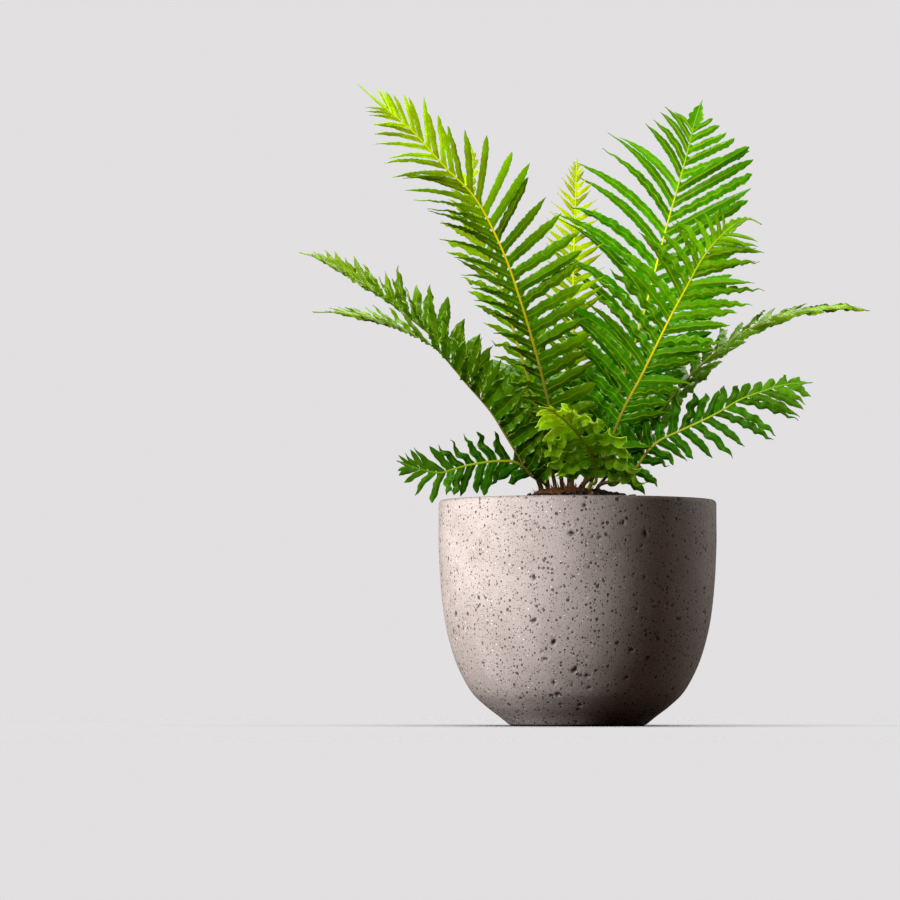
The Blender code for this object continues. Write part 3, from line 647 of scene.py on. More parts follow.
FRONDS = [
    Frond("frond_left_tall", (-11, -20),
          [(-15, -28, 204), (-22, -37, 236), (-29, -45, 264), (-41, -56, 304), (-53, -65, 337),
           (-72, -76, 373), (-93, -85, 394), (-116, -93, 419), (-139, -99, 438), (-154, -104, 451)],
          ((0.1, -1, 0.1), (0.1, -1, 0.3)), 0.1, 31, 1.25, 26, 1.1, 0.7,
          Row((14, 31, 50, 50, 34, 14), (54, 46, 40, 36, 34, 26), (6, 8), 60, 6, 12, 0.74),
          Row((24, 44, 55, 42, 31, 13), (74, 74, 74, 74, 72, 58, 42, 40, 36, 30, 24), (10, 6), 8, -8, 6,
              0.8),
          "tall_left"),
    Frond("frond_front_small", (9, -16),
          [(13, -22, 174), (13, -30, 184), (10, -40, 193), (5, -52, 201), (-3, -66, 210), (-11, -80, 217),
           (-19, -92, 222), (-27, -102, 224)],
          ((0.2, 1, 0.3), (-0.2, 0.4, 1)), 0.12, 10, 1.25, 14, 3.0, 0.9,
          Row((32, 44, 40, 30, 24, 12), (60, 70, 70, 60, 48, 28), (-20, 12), 20, -12, 80, 0.85),
          Row((24, 34, 30, 24, 18, 9), (60, 66, 66, 62, 46, 28), (-20, 12), 20, -12, 80, 0.85), "small"),
    Frond("frond_left_front", (-22, -14),
          [(-34, -19, 180), (-42, -23, 193), (-52, -28, 209), (-60, -32, 222), (-69, -36, 233),
           (-79, -40, 244), (-89, -44, 256), (-99, -48, 267), (-112, -52, 276), (-129, -56, 284),
           (-148, -60, 290), (-168, -64, 293), (-188, -68, 293)],
          ((0.8, -0.1, 0.6), (0.1, -0.1, 1)), 0.08, 21, 1.25, 24, 1.0, 0.7,
          Row((22, 36, 39, 31, 24, 13), (78, 74, 58, 34, 18, 12), (62, 60, 20, -15, -12), 5, 0, 0, 0.86),
          Row((22, 38, 41, 31, 24, 13), (78, 74, 58, 34, 18, 12), (58, 56, 34, 8, 6), 5, 0, 0, 0.86), "edge_on"),
    Frond("frond_right_low", (15, -8),
          [(30, -13, 176), (40, -17, 182), (48, -22, 193), (58, -28, 203), (73, -34, 210), (91, -42, 218),
           (103, -48, 224), (115, -54, 231), (132, -61, 237), (147, -68, 241), (166, -76, 242)],
          ((-0.1, -1, 0.2), (-0.1, -1, 0.3)), 0.07, 18, 1.0, 12, 2.0, 0.9,
          Row((20, 28, 31, 30, 24, 17, 12, 10, 7), (60, 60, 58, 54, 48, 40, 34, 28, 22), (8, 6), 6, 4, 0,
              0.8),
          Row((16, 22, 22, 32, 44, 47, 34, 12), (50, 54, 66, 56, 48, 43, 37, 28), (8, 6), 10, 6, 12, 0.64),
          "low"),
    Frond("frond_right_front", (4, -9),
          [(15, -13, 183), (25, -18, 207), (34, -23, 228), (45, -28, 248), (55, -34, 268), (67, -42, 292),
           (77, -50, 310), (87, -61, 328), (96, -71, 340), (103, -79, 347), (111, -87, 353),
           (121, -95, 356), (130, -103, 351)],
          ((-0.2, -1, 0.2), (-0.2, -1, 0.35)), 0.12, 22, 1.25, 36, 4.6, 0.9,
          Row((34, 62, 66, 52, 30, 10), (62, 62, 62, 58, 54, 52), (10, 12), 12, 16, 10, 0.74),
          Row((30, 42, 50, 64, 50, 28), (60, 58, 54, 48, 42, 36), (10, 6), 20, 2, 8, 0.76), "front_right"),
    Frond("frond_left_low", (-26, -5),
          [(-34, -6, 182), (-44, -6, 189), (-56, -8, 190), (-66, -11, 189), (-77, -15, 187),
           (-88, -19, 184), (-98, -23, 181), (-112, -29, 183), (-129, -37, 189)],
          ((0, -1, 0.1), (0, -1, 0.1)), 0.2, 13, 1.25, 10, 1.5, 0.9,
          Row((16, 23, 27, 25, 16, 7), (64, 62, 58, 48, 30, 14), (6, 6), 20, 8, 6, 0.76),
          Row((18, 23, 24, 23, 17, 8), (68, 66, 62, 54, 38, 16), (6, 6), 20, 4, 6, 0.76), "low"),
    Frond("frond_left_arching", (-27, 3),
          [(-41, 8, 202), (-56, 13, 224), (-71, 18, 244), (-85, 23, 263), (-100, 29, 278),
           (-114, 34, 290), (-131, 41, 304), (-151, 48, 318), (-170, 55, 332), (-188, 62, 342),
           (-205, 68, 348)],
          ((0.8, -0.1, 0.6), (0.5, -0.1, 0.9)), 0.14, 20, 1.25, 22, 1.0, 0.8,
          Row((22, 32, 40, 38, 26, 13), (78, 72, 56, 38, 26, 16), (52, 50, 40, 0, -14), 5, 0, 0, 0.86),
          Row((22, 32, 40, 41, 26, 12), (78, 72, 56, 38, 24, 16), (56, 54, 52, 36, 24), 5, 0, 0, 0.86),
          "edge_on"),
    Frond("frond_right_arching", (15, 2),
          [(32, 5, 190), (49, 8, 209), (61, 11, 226), (74, 15, 244), (89, 19, 260), (105, 24, 274),
           (125, 29, 288), (151, 35, 299), (180, 43, 305), (200, 48, 305), (214, 52, 302)],
          ((-0.5, -0.1, 0.9), (-0.1, -0.1, 1)), 0.16, 20, 1.25, 16, 1.2, 0.8,
          Row((24, 36, 38, 34, 25, 12), (72, 62, 48, 34, 22, 14), (26, 8), 8, 0, 20, 0.95),
          Row((20, 26, 26, 24, 20, 10), (68, 56, 42, 28, 18, 12), (-6, -10), 8, 0, 20, 0.95), "edge_on"),
    Frond("frond_right_tall", (4, 4),
          [(16, 8, 202), (27, 12, 231), (39, 17, 268), (51, 23, 308), (60, 28, 343), (67, 33, 369),
           (75, 38, 397), (81, 43, 419), (86, 48, 440), (92, 52, 458)],
          ((-0.1, -1, 0.0), (-0.1, -1, 0.2)), 0.12, 21, 1.25, 22, 5.5, 0.8,
          Row((40, 72, 86, 81, 43, 14), (52, 52, 52, 47, 38, 40), (8, 6), 20, 26, 8, 0.64),
          Row((32, 54, 68, 70, 43, 9), (62, 58, 56, 53, 52, 52), (8, 6), 8, -4, 4, 0.72), "tall_right"),
    Frond("frond_left_inner", (-16, -4),
          [(-21, -8, 194), (-28, -12, 224), (-35, -16, 248), (-43, -20, 274), (-53, -26, 308),
           (-64, -31, 334), (-74, -36, 362), (-77, -40, 382), (-74, -44, 400), (-78, -48, 420)],
          ((0.1, -1, 0.0), (0.1, -1, 0.2)), 0.1, 24, 1.25, 14, 1.5, 0.9,
          Row((10, 18, 33, 35, 15, 4), (56, 50, 44, 40, 32, 22), (6, 4), 50, -6, 10, 0.75),
          Row((16, 24, 28, 19, 7, 4), (64, 60, 54, 44, 32, 24), (6, 4), 20, 0, 4, 0.75), "inner"),
    Frond("frond_centre_young", (-4, 9),
          [(-2, 16, 206), (-2, 20, 250), (-3, 24, 308), (-2, 27, 353), (-1, 30, 386), (0, 33, 413)],
          ((0, -1, 0), (0, -1, 0.1)), 0.16, 28, 1.25, 6, 0.7, 0.5,
          Row((16, 26, 30, 27, 17, 3), (52, 50, 48, 48, 44, 28), (8, 6), 14, 4, 0, 0.66),
          Row((15, 22, 26, 24, 15, 3), (66, 66, 66, 62, 54, 30), (8, 6), 24, -6, 0, 0.6), "young"),
    Frond("frond_back_right", (9, 13),
          [(18, 25, 198), (30, 44, 232), (42, 68, 258), (52, 96, 270), (60, 124, 266), (66, 148, 252)],
          ((-0.3, -0.5, 0.8), (0.1, 0.4, 1)), 0.12, 15, 1.25, 14, 1.5, 0.8,
          Row((22, 34, 38, 34, 22, 7), (78, 72, 64, 56, 42, 26), (22, 14), 8, 4, 22, 0.86),
          Row((22, 34, 38, 34, 22, 7), (78, 72, 64, 56, 42, 26), (22, 14), 8, 4, 22, 0.86), "back"),
    Frond("frond_back_middle", (-6, 20),
          [(-7, 34, 200), (-9, 54, 232), (-11, 82, 254), (-12, 114, 262), (-12, 144, 254),
           (-11, 170, 234)],
          ((0, -0.6, 0.8), (0, 0.4, 1)), 0.12, 15, 1.25, 14, 1.5, 0.8,
          Row((22, 34, 38, 34, 22, 7), (78, 72, 64, 56, 42, 26), (22, 14), 8, 4, 22, 0.86),
          Row((22, 34, 38, 34, 22, 7), (78, 72, 64, 56, 42, 26), (22, 14), 8, 4, 22, 0.86), "back"),
    Frond("frond_back_left", (-21, 14),
          [(-26, 27, 202), (-32, 46, 232), (-38, 70, 254), (-44, 98, 264), (-49, 126, 260),
           (-53, 150, 246)],
          ((0.3, -0.5, 0.8), (-0.1, 0.4, 1)), 0.12, 15, 1.25, 14, 1.5, 0.8,
          Row((22, 32, 36, 32, 22, 7), (78, 72, 64, 56, 42, 26), (22, 14), 8, 4, 22, 0.86),
          Row((22, 30, 32, 30, 22, 7), (78, 72, 64, 56, 42, 26), (22, 14), 8, 4, 22, 0.86), "back"),
]
print("fronds:", len(FRONDS), "leaflets:", sum(2 * frond.pairs for frond in FRONDS))


# %% [markdown]
# ## Crown
# A fern's crown is a short upright rootstock, wrapped in dry brown scales. It is a low turned dome with a
# plain hole for every stalk. Each scale is a small flat cone, leant outwards, and there are a few hundred
# of them, in rings that overlap like tiles.

# %% Build the crown
SCALE_RINGS = ((26.0, 164.5, 46), (24.0, 167.2, 42), (20.5, 169.3, 36), (15.5, 170.5, 28), (10.0, 171.2, 18),
               (5.0, 171.4, 8))  # radius, height, scales
SCALE_SIZE = (1.5, 0.35, 4.5)  # half width, half thickness, half length


def crown_scales(shape, draw):
    feet = [Vector(frond.foot) for frond in FRONDS]
    for radius, height, count in SCALE_RINGS:
        for index in range(count):
            angle = math.tau * (index + draw.uniform(-0.3, 0.3)) / count
            place = Vector((*CROWN_CENTRE, height)) + Vector((math.cos(angle), math.sin(angle), 0)) * radius
            if min((place.xy - foot).length for foot in feet) < STALK_CLEARANCE + 0.6:
                continue
            lean = Euler((draw.uniform(-0.3, 0.3), math.radians(62) * radius / 26 + draw.uniform(-0.3, 0.3),
                          angle), "XYZ")
            size = Vector(SCALE_SIZE) * draw.uniform(0.7, 1.15)
            turn = Matrix.LocRotScale(place, lean, Vector((size.y, size.x, size.z)))
            bmesh.ops.create_cone(shape, cap_ends=True, segments=6, radius1=1.0, radius2=0.05, depth=2.0,
                                  matrix=turn)


def crown():
    low = [(0.0, CROWN_BOTTOM), (CROWN_RADIUS, CROWN_BOTTOM), (CROWN_RADIUS, CROWN_SHOULDER)]
    dome = [(CROWN_RADIUS * 0.92, CROWN_SHOULDER + 1.9), (CROWN_RADIUS * 0.8, CROWN_TOP - 1.5),
            (CROWN_RADIUS * 0.6, CROWN_TOP - 0.6), (CROWN_RADIUS * 0.4, CROWN_TOP), (0.0, CROWN_TOP)]
    shape = turned(low + dome, CROWN_SIDES)
    bmesh.ops.translate(shape, vec=(*CROWN_CENTRE, 0.0), verts=shape.verts[:])
    pegs = [peg(frond.foot, STALK_CLEARANCE, SOCKET_BOTTOM, OVER_CROWN, 20) for frond in FRONDS]
    mesh = cut(make_mesh("dome", shape, [scales_brown]), pegs)
    shape = bmesh.new()
    shape.from_mesh(mesh)
    bmesh.ops.scale(shape, vec=(1 / MM, 1 / MM, 1 / MM), verts=shape.verts[:])
    crown_scales(shape, random.Random("scales"))
    return finished("scaly_crown", make_mesh("scaly_crown", shape, [scales_brown]), "crown", 50.0)


crown()


# %% [markdown]
# ## Where the leaflets grow
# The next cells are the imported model's own rule. A stalk is cut into stations, and a leaflet grows between
# each two of them. Its midrib starts on the stalk and curves outwards in small steps. If it would touch
# another frond, it is lifted a little further each time until it is clear.

# %% Stalk sections and stations
STALK_WIDE = 1.9  # half a stalk's width at its foot
STALK_TIP = 0.5
STALK_TAPER = 0.45  # under 1, so that it narrows mostly near its foot
STALK_THICK = 3.4
STALK_FOOT = (155.5, 162.0, 172.0)  # heights at which a stalk still stands upright in its socket
BARE_STATIONS = 22  # a stalk's leafless part has this many for its whole length, and at least four
LOBE_WIDEST = 0.25  # how far up the end lobe is widest, as a share of its length
LEAST_SWEEP = 0.8  # radians; leaflets that are swept further forward than this grow no narrower
CHANCE = (6.0, 7.0, 0.1, 8.0)  # how far a leaflet strays in sweep and lift, length as a share, and tilt
Cross = namedtuple("Cross", "centre along across face half share")


def blend(values, share):
    """The value at a share of the way along an evenly spaced list."""
    place = min(max(share, 0.0), 1.0) * (len(values) - 1)
    index = min(int(place), len(values) - 2)
    return values[index] + (values[index + 1] - values[index]) * (place - index)


def line_of(frond):
    foot = [Vector((*frond.foot, height)) for height in STALK_FOOT]
    return Line(foot + [Vector(point) for point in frond.path])


def cross_section(frond, line, share):
    """The stalk at a share of its length: its middle, three directions and half its width."""
    along = line.direction(share)
    toward = Vector(frond.face[0]).lerp(Vector(frond.face[1]), share)
    face = (toward - along * toward.dot(along)).normalized()
    half = STALK_WIDE + (STALK_TIP - STALK_WIDE) * share ** STALK_TAPER
    return Cross(line.place(share), along, along.cross(face), face, half, share)


def stations(frond, line):
    """Shares of the stalk where the notches between leaflets lie.

    A crowding over 1 brings them closer together near the top, and one under 1 near the foot.
    """
    leafy = 1.0 - frond.tip / line.length - frond.bare
    left = [1 - index / frond.pairs for index in range(frond.pairs + 1)]
    return [frond.bare + leafy * (1 - part ** frond.crowding) for part in left]


# %% A leaflet's midrib
Rib = namedtuple("Rib", "place way wide")
Growth = namedtuple("Growth", "frond row side lower upper share chance")


def notches(growth):
    """The two points of the stalk's edge that a leaflet spans."""
    low = growth.lower.centre + growth.lower.across * growth.side * growth.lower.half
    high = growth.upper.centre + growth.upper.across * growth.side * growth.upper.half
    return low, high


def midrib(growth, lift_more, shorter, steps):
    """The leaflet's midrib in steps, half the width of its blade, and its length."""
    frond, row, side, lower, _, share, chance = growth
    low, high = notches(growth)
    out = lower.across * side
    sweep = math.radians(blend(row.sweep, share) + chance[0])
    lift = math.radians(blend(row.lift, share) + chance[1] + lift_more)
    length = blend(row.length, share) * (1 + chance[2]) * shorter
    tilt = math.radians(row.tilt + chance[3]) * side
    half = (high - low).length * math.sin(max(sweep, LEAST_SWEEP)) * row.broad / 2
    spot = (low + high) / 2
    ribs = []
    for step in range(steps):
        done = (step + 0.5) / steps
        turn = sweep + math.radians(row.bend) * done
        sideways = out * math.cos(lift) + lower.face * math.sin(lift)
        way = lower.along * math.cos(turn) + sideways * math.sin(turn)
        way.z -= math.sin(math.radians(row.sag)) * done
        way.normalize()
        spot = spot + way * length / steps
        wide = (lower.along - way * lower.along.dot(way)).normalized()
        wide.rotate(Quaternion(way, tilt * min(1.0, 2 * (step + 1) / steps)))
        ribs.append(Rib(spot, way, wide))
    return ribs, half, length


# %% Keeping clear of the other fronds
CLEAR = 1.4  # the least room between two fronds' blades
LIFTS = (0, 7, -7, 14, -14, 22, -22, 30, -30, 40)
SHORTENED = (1.0, 0.88, 0.75, 0.6, 0.45, 0.3, 0.18)
SEED = 41
PLAIN_STEPS = 6
PLAIN_FACES = [(0, 1, 4, 5), (1, 2, 4), (2, 3, 4)]
Plain = namedtuple("Plain", "low low_1 low_2 tip high_1 high")


def plain_leaflet(growth, lift_more, shorter):
    """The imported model's leaflet: two points on its lower edge, one on its upper edge, and its tip."""
    ribs, half, _ = midrib(growth, lift_more, shorter, PLAIN_STEPS)
    edge = {}
    for step, part in ((1, 1.0), (3, 1.0), (4, 0.75)):
        rib = ribs[step]
        edge[step] = rib.wide * half * part + rib.way.cross(rib.wide) * growth.frond.wave
    low, high = notches(growth)
    return Plain(low, ribs[1].place - edge[1], ribs[4].place - edge[4], ribs[-1].place,
                 ribs[3].place + edge[3], high)


def above_pot(point):
    """Whether a point lies clear of the pot and the soil."""
    radius = math.hypot(point.x, point.y)
    if radius > POT_RADIUS + 2:
        return True
    return point.z > (POT_HEIGHT + 2 if radius > POT_INSIDE - 2 else soil_height(radius) + 4)


def is_clear(shape, others):
    """Whether a leaflet keeps its distance from the pot and from what the other fronds fill."""
    outline = list(shape)
    halfway = [(first + second) / 2 for first, second in zip(outline, outline[1:])]
    if not all(above_pot(point) for point in outline + halfway):
        return False
    if any(others.find_nearest(point, CLEAR)[0] for point in outline[1:-1] + halfway):
        return False
    normal = (shape.low_2 - shape.high).cross(shape.high_1 - shape.low).normalized()
    for shift in (0.0, CLEAR * 0.8, -CLEAR * 0.8):
        moved = [point + normal * shift for point in outline]
        if others.overlap(BVHTree.FromPolygons(moved, PLAIN_FACES)):
            return False
    return True


# %% The plain fronds, as obstacles
Grown = namedtuple("Grown", "frond line sections points faces leaflets")


def stalk_ribbon(frond):
    """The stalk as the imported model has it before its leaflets: a flat ribbon and its end lobe."""
    line = line_of(frond)
    bare = max(4, round(frond.bare * BARE_STATIONS))
    shares = [frond.bare * index / bare for index in range(bare)] + stations(frond, line)
    sections = [cross_section(frond, line, share) for share in shares]
    points = []
    for section in sections:
        side = section.across * section.half
        points += [section.centre - side, section.centre, section.centre + side]
    faces = []
    for first in range(0, len(points) - 3, 3):
        faces += [(first, first + 1, first + 4, first + 3), (first + 1, first + 2, first + 5, first + 4)]
    end = sections[-1]
    spread = line.place(1.0 - (1.0 - LOBE_WIDEST) * frond.tip / line.length)
    wide = end.across * frond.lobe
    last = len(points)
    points += [spread - wide, spread, spread + wide, line.place(1.0)]
    faces += [(last - 3, last - 2, last + 1, last), (last - 2, last - 1, last + 2, last + 1),
              (last, last + 1, last + 3), (last + 1, last + 2, last + 3)]
    return Grown(frond, line, sections, points, faces, [])


def stalk_fin(sections):
    """The stalk seen from its side: the front and back edges that its thickness gives it."""
    points = []
    for section in sections:
        depth = section.face * (STALK_THICK / 2 * section.half / STALK_WIDE)
        points += [section.centre - depth, section.centre + depth]
    return points, [(index, index + 1, index + 3, index + 2) for index in range(0, len(points) - 2, 2)]


def obstacles(grown, own):
    points = []
    faces = []
    for other in grown:
        if other is own:
            continue
        for more_points, more_faces in ((other.points, other.faces), stalk_fin(other.sections)):
            faces += [[corner + len(points) for corner in face] for face in more_faces]
            points += more_points
    return BVHTree.FromPolygons(points, faces)


# %% Grow every frond's leaflets
def chosen(growth, others):
    """The lift and length of the leaflet nearest to its natural place that is clear of the others."""
    for shorter in SHORTENED:
        for lift_more in LIFTS:
            shape = plain_leaflet(growth, lift_more, shorter)
            if is_clear(shape, others):
                return shape, lift_more, shorter
    return None


def grow():
    grown = [stalk_ribbon(frond) for frond in FRONDS]
    for own in grown:
        others = obstacles(grown, own)
        frond = own.frond
        draw = random.Random(frond.name + str(SEED))
        first = len(own.sections) - 1 - frond.pairs
        for index in range(frond.pairs):
            for side, row in ((-1, frond.left), (1, frond.right)):
                chance = [draw.uniform(-most, most) for most in CHANCE]
                growth = Growth(frond, row, side, own.sections[first + index], own.sections[first + index + 1],
                                index / frond.pairs, chance)
                found = chosen(growth, others)
                if found:
                    own.leaflets.append((growth, *found[1:]))
                    start = len(own.points)
                    own.points.extend(found[0])
                    own.faces.extend([tuple(start + corner for corner in face) for face in PLAIN_FACES])
    return grown


grown_fronds = grow()
print("leaflets grown:", sum(len(grown.leaflets) for grown in grown_fronds))


# %% [markdown]
# ## Fern leaf
# A leaflet is thin, waxy on top and full of water, so it is a satin surface that also lets light through: a
# Principled shader mixed with a Translucent one. Its colour runs from deep green low on the frond to
# yellow-green on top. A pale midrib runs down its middle and fine side veins slant away from it, a little
# over a millimetre apart. The ruffled margin is painted pale in patches: a painted highlight, for the light
# that its thin edge catches and lets through. The pattern follows each leaflet, so the mesh carries two
# attributes: "place" has the distance along and across the leaflet, in mm, and how near the edge a point is;
# "grown" has the share of the frond's length, a random number for each leaflet and the share of the
# leaflet's own length.

# %% Leaf finishes
# low, middle and top are the blade's colours up the frond, rib its midribs, and foot and rachis the stalk's
# lower and upper part. full_low and full_top make a fine blade broader or narrower than the plain one.
Finish = namedtuple("Finish", "low middle top rib foot rachis point_left point_right ripple pitch fold "
                    "full_low full_top")
FINISHES = {
    "tall_left": Finish("1E5A04", "4C8C03", "B4E00A", "A8A010", "4A3A14", "E0D010",
                        1.3, 1.0, 0.7, 4.6, 0.40, 1.2, 0.72),
    "tall_right": Finish("1A7404", "4CA004", "62AC06", "AEC010", "4A3A14", "E8DC14",
                         1.4, 0.8, 0.65, 4.6, 0.55, 1.1, 1.1),
    "front_right": Finish("1E7004", "529A04", "74AC08", "A4B010", "4A3A14", "DCCC14",
                          1.2, 1.4, 0.9, 4.6, 0.45, 1.15, 1.15),
    "inner": Finish("569A10", "7AB414", "BCDC30", "CCD020", "4A3A14", "E0D41A",
                    1.4, 1.1, 1.2, 5.0, 0.35, 1.0, 1.0),
    "young": Finish("6CA004", "94BC06", "B4D006", "C8D010", "4A3A14", "E0DC10",
                    1.6, 1.6, 0.3, 5.0, 0.25, 1.0, 1.0),
    "edge_on": Finish("265E04", "528A06", "8CB414", "90A014", "4A3A14", "A8A428",
                      1.3, 1.3, 0.8, 5.5, 0.45, 1.1, 1.15),
    "low": Finish("145204", "286A04", "5A9412", "5C8C10", "4A3A14", "94A41C",
                  1.0, 1.3, 1.1, 6.5, 0.35, 1.2, 1.2),
    "small": Finish("64A40C", "8CC014", "B8DC30", "B8D020", "8A961A", "C8D41C",
                    1.1, 1.1, 1.5, 8.0, 0.50, 1.1, 1.1),
    "back": Finish("2E6A06", "44860A", "5E9A0E", "84A014", "4A3A14", "B8B820",
                   1.0, 1.0, 1.0, 5.0, 0.30, 1.0, 1.0),
}
VEINS = 1.3  # their spacing in mm, drawn a little coarser than life so that they show
VEIN_SLANT = 0.8  # how far a vein runs up the leaflet for each mm across
RIB_HALF = 0.30
MOTTLE = 9.0
THROUGH = 0.42  # the share of light that passes through the blade
THROUGH_TINT = (2.2, 1.7, 0.4)  # a leaf passes yellow light best
# The pale green painted on the leaflets' margins: a painted highlight.
MARGIN_HIGHLIGHT = "CCEC7C"


def fern_leaf(name, finish):
    made, tree = new_material("fern_leaf_" + name)
    place = add(tree, "Attribute", attribute_name="place").outputs["Vector"]
    grown = add(tree, "Attribute", attribute_name="grown").outputs["Vector"]
    run, across, edge = add(tree, "SeparateXYZ", {0: place}).outputs
    share, chance, reach = add(tree, "SeparateXYZ", {0: grown}).outputs
    aside = add(tree, "Math", {0: across}, operation="ABSOLUTE")

    # Blade colour up the frond, then lighter and darker from leaflet to leaflet and in soft patches
    ripe = add(tree, "ValToRGB", {0: share}, ((0.15, finish.low), (0.55, finish.middle), (0.85, finish.top)))
    spot = add(tree, "TexCoord").outputs["Object"]
    mottle = add(tree, "TexNoise", {"Vector": spot, "Scale": per_mm(MOTTLE), "Detail": 3.0})
    light = add(tree, "Math", {0: chance, 1: 0.5, 2: mottle}, operation="MULTIPLY_ADD")
    light = add(tree, "MapRange", {"Value": light, "From Min": 0.3, "From Max": 1.2, "To Min": 0.45, "To Max": 1.4})
    blade = add(tree, "VectorMath", {0: ripe, "Scale": light}, operation="SCALE")
    tipped = add(tree, "Math", {0: reach, 1: 0.25}, operation="MULTIPLY")
    blade = add(tree, "Mix", {0: tipped, 6: blade, 7: linear(finish.top)}, data_type="RGBA")

    # Side veins, the pale margin, which is a painted highlight, and midrib
    slanted = add(tree, "Math", {0: aside, 1: -VEIN_SLANT, 2: run}, operation="MULTIPLY_ADD")
    vein = add(tree, "Math", {0: slanted, 1: math.tau / VEINS}, operation="MULTIPLY")
    vein = add(tree, "Math", {0: vein}, operation="SINE")
    veined = add(tree, "Math", {0: vein, 1: 0.04, 2: 0.04}, operation="MULTIPLY_ADD")
    blade = add(tree, "Mix", {0: veined, 6: blade, 7: linear("0A2402")}, data_type="RGBA")
    # The margin is painted pale in soft patches: a painted highlight where the thin edge would catch the light.
    patches = add(tree, "TexNoise", {"Vector": spot, "Scale": per_mm(5.0), "Detail": 1.0})
    patches = add(tree, "MapRange", {"Value": patches, "From Min": 0.48, "From Max": 0.62})
    painted_edge_light = add(tree, "MapRange", {"Value": edge, "From Min": 0.7, "From Max": 1.0, "To Max": 0.65})
    painted_edge_light = add(tree, "Math", {0: painted_edge_light, 1: patches}, operation="MULTIPLY")
    blade = add(tree, "Mix", {0: painted_edge_light, 6: blade, 7: linear(MARGIN_HIGHLIGHT)}, data_type="RGBA")
    ribbed = add(tree, "MapRange", {"Value": aside, "From Min": RIB_HALF * 0.6, "From Max": RIB_HALF * 1.5,
                                    "To Min": 0.7, "To Max": 0.0})
    ended = add(tree, "Math", {0: reach, 1: 3.0}, operation="POWER")
    ended = add(tree, "Math", {0: 1.0, 1: ended}, operation="SUBTRACT")
    ribbed = add(tree, "Math", {0: ribbed, 1: ended}, operation="MULTIPLY")
    colour = add(tree, "Mix", {0: ribbed, 6: blade, 7: linear(finish.rib)}, data_type="RGBA")

    height = add(tree, "Math", {0: vein, 1: 0.3}, operation="MULTIPLY")
    height = add(tree, "Math", {0: height, 1: ribbed}, operation="SUBTRACT")
    bump = add(tree, "Bump", {"Height": height, "Strength": 0.5, "Distance": 0.12 * MM})
    waxy = add(tree, "BsdfPrincipled", {"Base Color": colour, "Roughness": 0.3, "IOR": 1.45,
                                        "Specular IOR Level": 0.18, "Specular Tint": linear("DCFF70"),
                                        "Normal": bump})
    glow = add(tree, "VectorMath", {0: colour, 1: THROUGH_TINT}, operation="MULTIPLY")
    lit_through = add(tree, "BsdfTranslucent", {"Color": glow, "Normal": bump})
    both_ways = add(tree, "MixShader", {0: THROUGH, 1: waxy, 2: lit_through})
    add(tree, "OutputMaterial", {"Surface": both_ways})
    return made


def stalk_skin(name, finish):
    """A smooth stalk: brown and scaly at its foot, then green, and yellow where the leaflets are."""
    made, tree = new_material("stalk_" + name)
    grown = add(tree, "Attribute", attribute_name="grown").outputs["Vector"]
    share = add(tree, "SeparateXYZ", {0: grown})
    spot = add(tree, "TexCoord").outputs["Object"]
    fleck = add(tree, "TexNoise", {"Vector": spot, "Scale": per_mm(2.5), "Detail": 4.0})
    strayed = add(tree, "Math", {0: fleck, 1: 0.1, 2: share}, operation="MULTIPLY_ADD")
    colour = add(tree, "ValToRGB", {0: strayed}, ((0.05, "2A1A0C"), (0.15, finish.foot), (0.33, "7E7A1C"),
                                                  (0.6, finish.rachis), (0.98, finish.top)))
    skin = add(tree, "BsdfPrincipled", {"Base Color": colour, "Roughness": 0.42, "IOR": 1.45,
                                        "Specular IOR Level": 0.2, "Specular Tint": linear("FFF090")})
    add(tree, "OutputMaterial", {"Surface": skin})
    return made


paints = {name: (fern_leaf(name, finish), stalk_skin(name, finish)) for name, finish in FINISHES.items()}
print("leaf materials:", len(paints))


# %% [markdown]
# ## Leaflet blades
# A blade starts as a flat grid, whose own X runs from the leaflet's root to its tip and whose Y runs from one
# edge to the other. Each point is then carried to its place by its midrib. The outline is broad, and
# narrows to a round or drawn-out tip. Its edges are scalloped, and they ripple in and out of the blade like
# a ruffle, which is what makes the real fern look feathery.

# %% One blade
BLADE_STEP = 1.1  # along a blade, in mm
BLADE_ACROSS = 4
BLADE_THICK = 0.45
SCALLOP = 0.6  # how far the lobes of the edge stand out
RUFFLE = 1.0  # how far the edge ripples out of the blade
SWAY = 0.7  # how far the whole blade wavers, from side to side and up and down
SWAY_PITCH = 12.0
FULL_HALF = 3.5  # a blade of this half width or more ripples fully
TWIST = math.radians(26)
CURL = 0.035  # of a tip, as a share of the blade's length
TIP_HALF = 0.15
LOBE_TEETH = 2.6  # a broad end lobe is this much more scalloped than a leaflet
LOBE_POINT = 2.1
ROOT = 4.0  # the stretch over which the blade turns from the stalk's direction to its own
Blade = namedtuple("Blade", "ribs half length share chance point ripple pitch fold teeth side root")


def outline(done, point):
    """Half the width of a blade at a share of its length, as a share of its full half width.

    A point of 0.5 gives a blunt strap, 1 an even taper and 1.6 a long, drawn-out tip.
    """
    belly = 0.86 + 0.14 * math.sin(math.pi / 2 * min(1.0, done / 0.45))
    start = 0.85 - 0.3 * point
    if done < start:
        return belly
    return belly * max(0.0, 1.0 - ((done - start) / (1.0 - start)) ** (2.6 / point)) ** max(0.5, point)


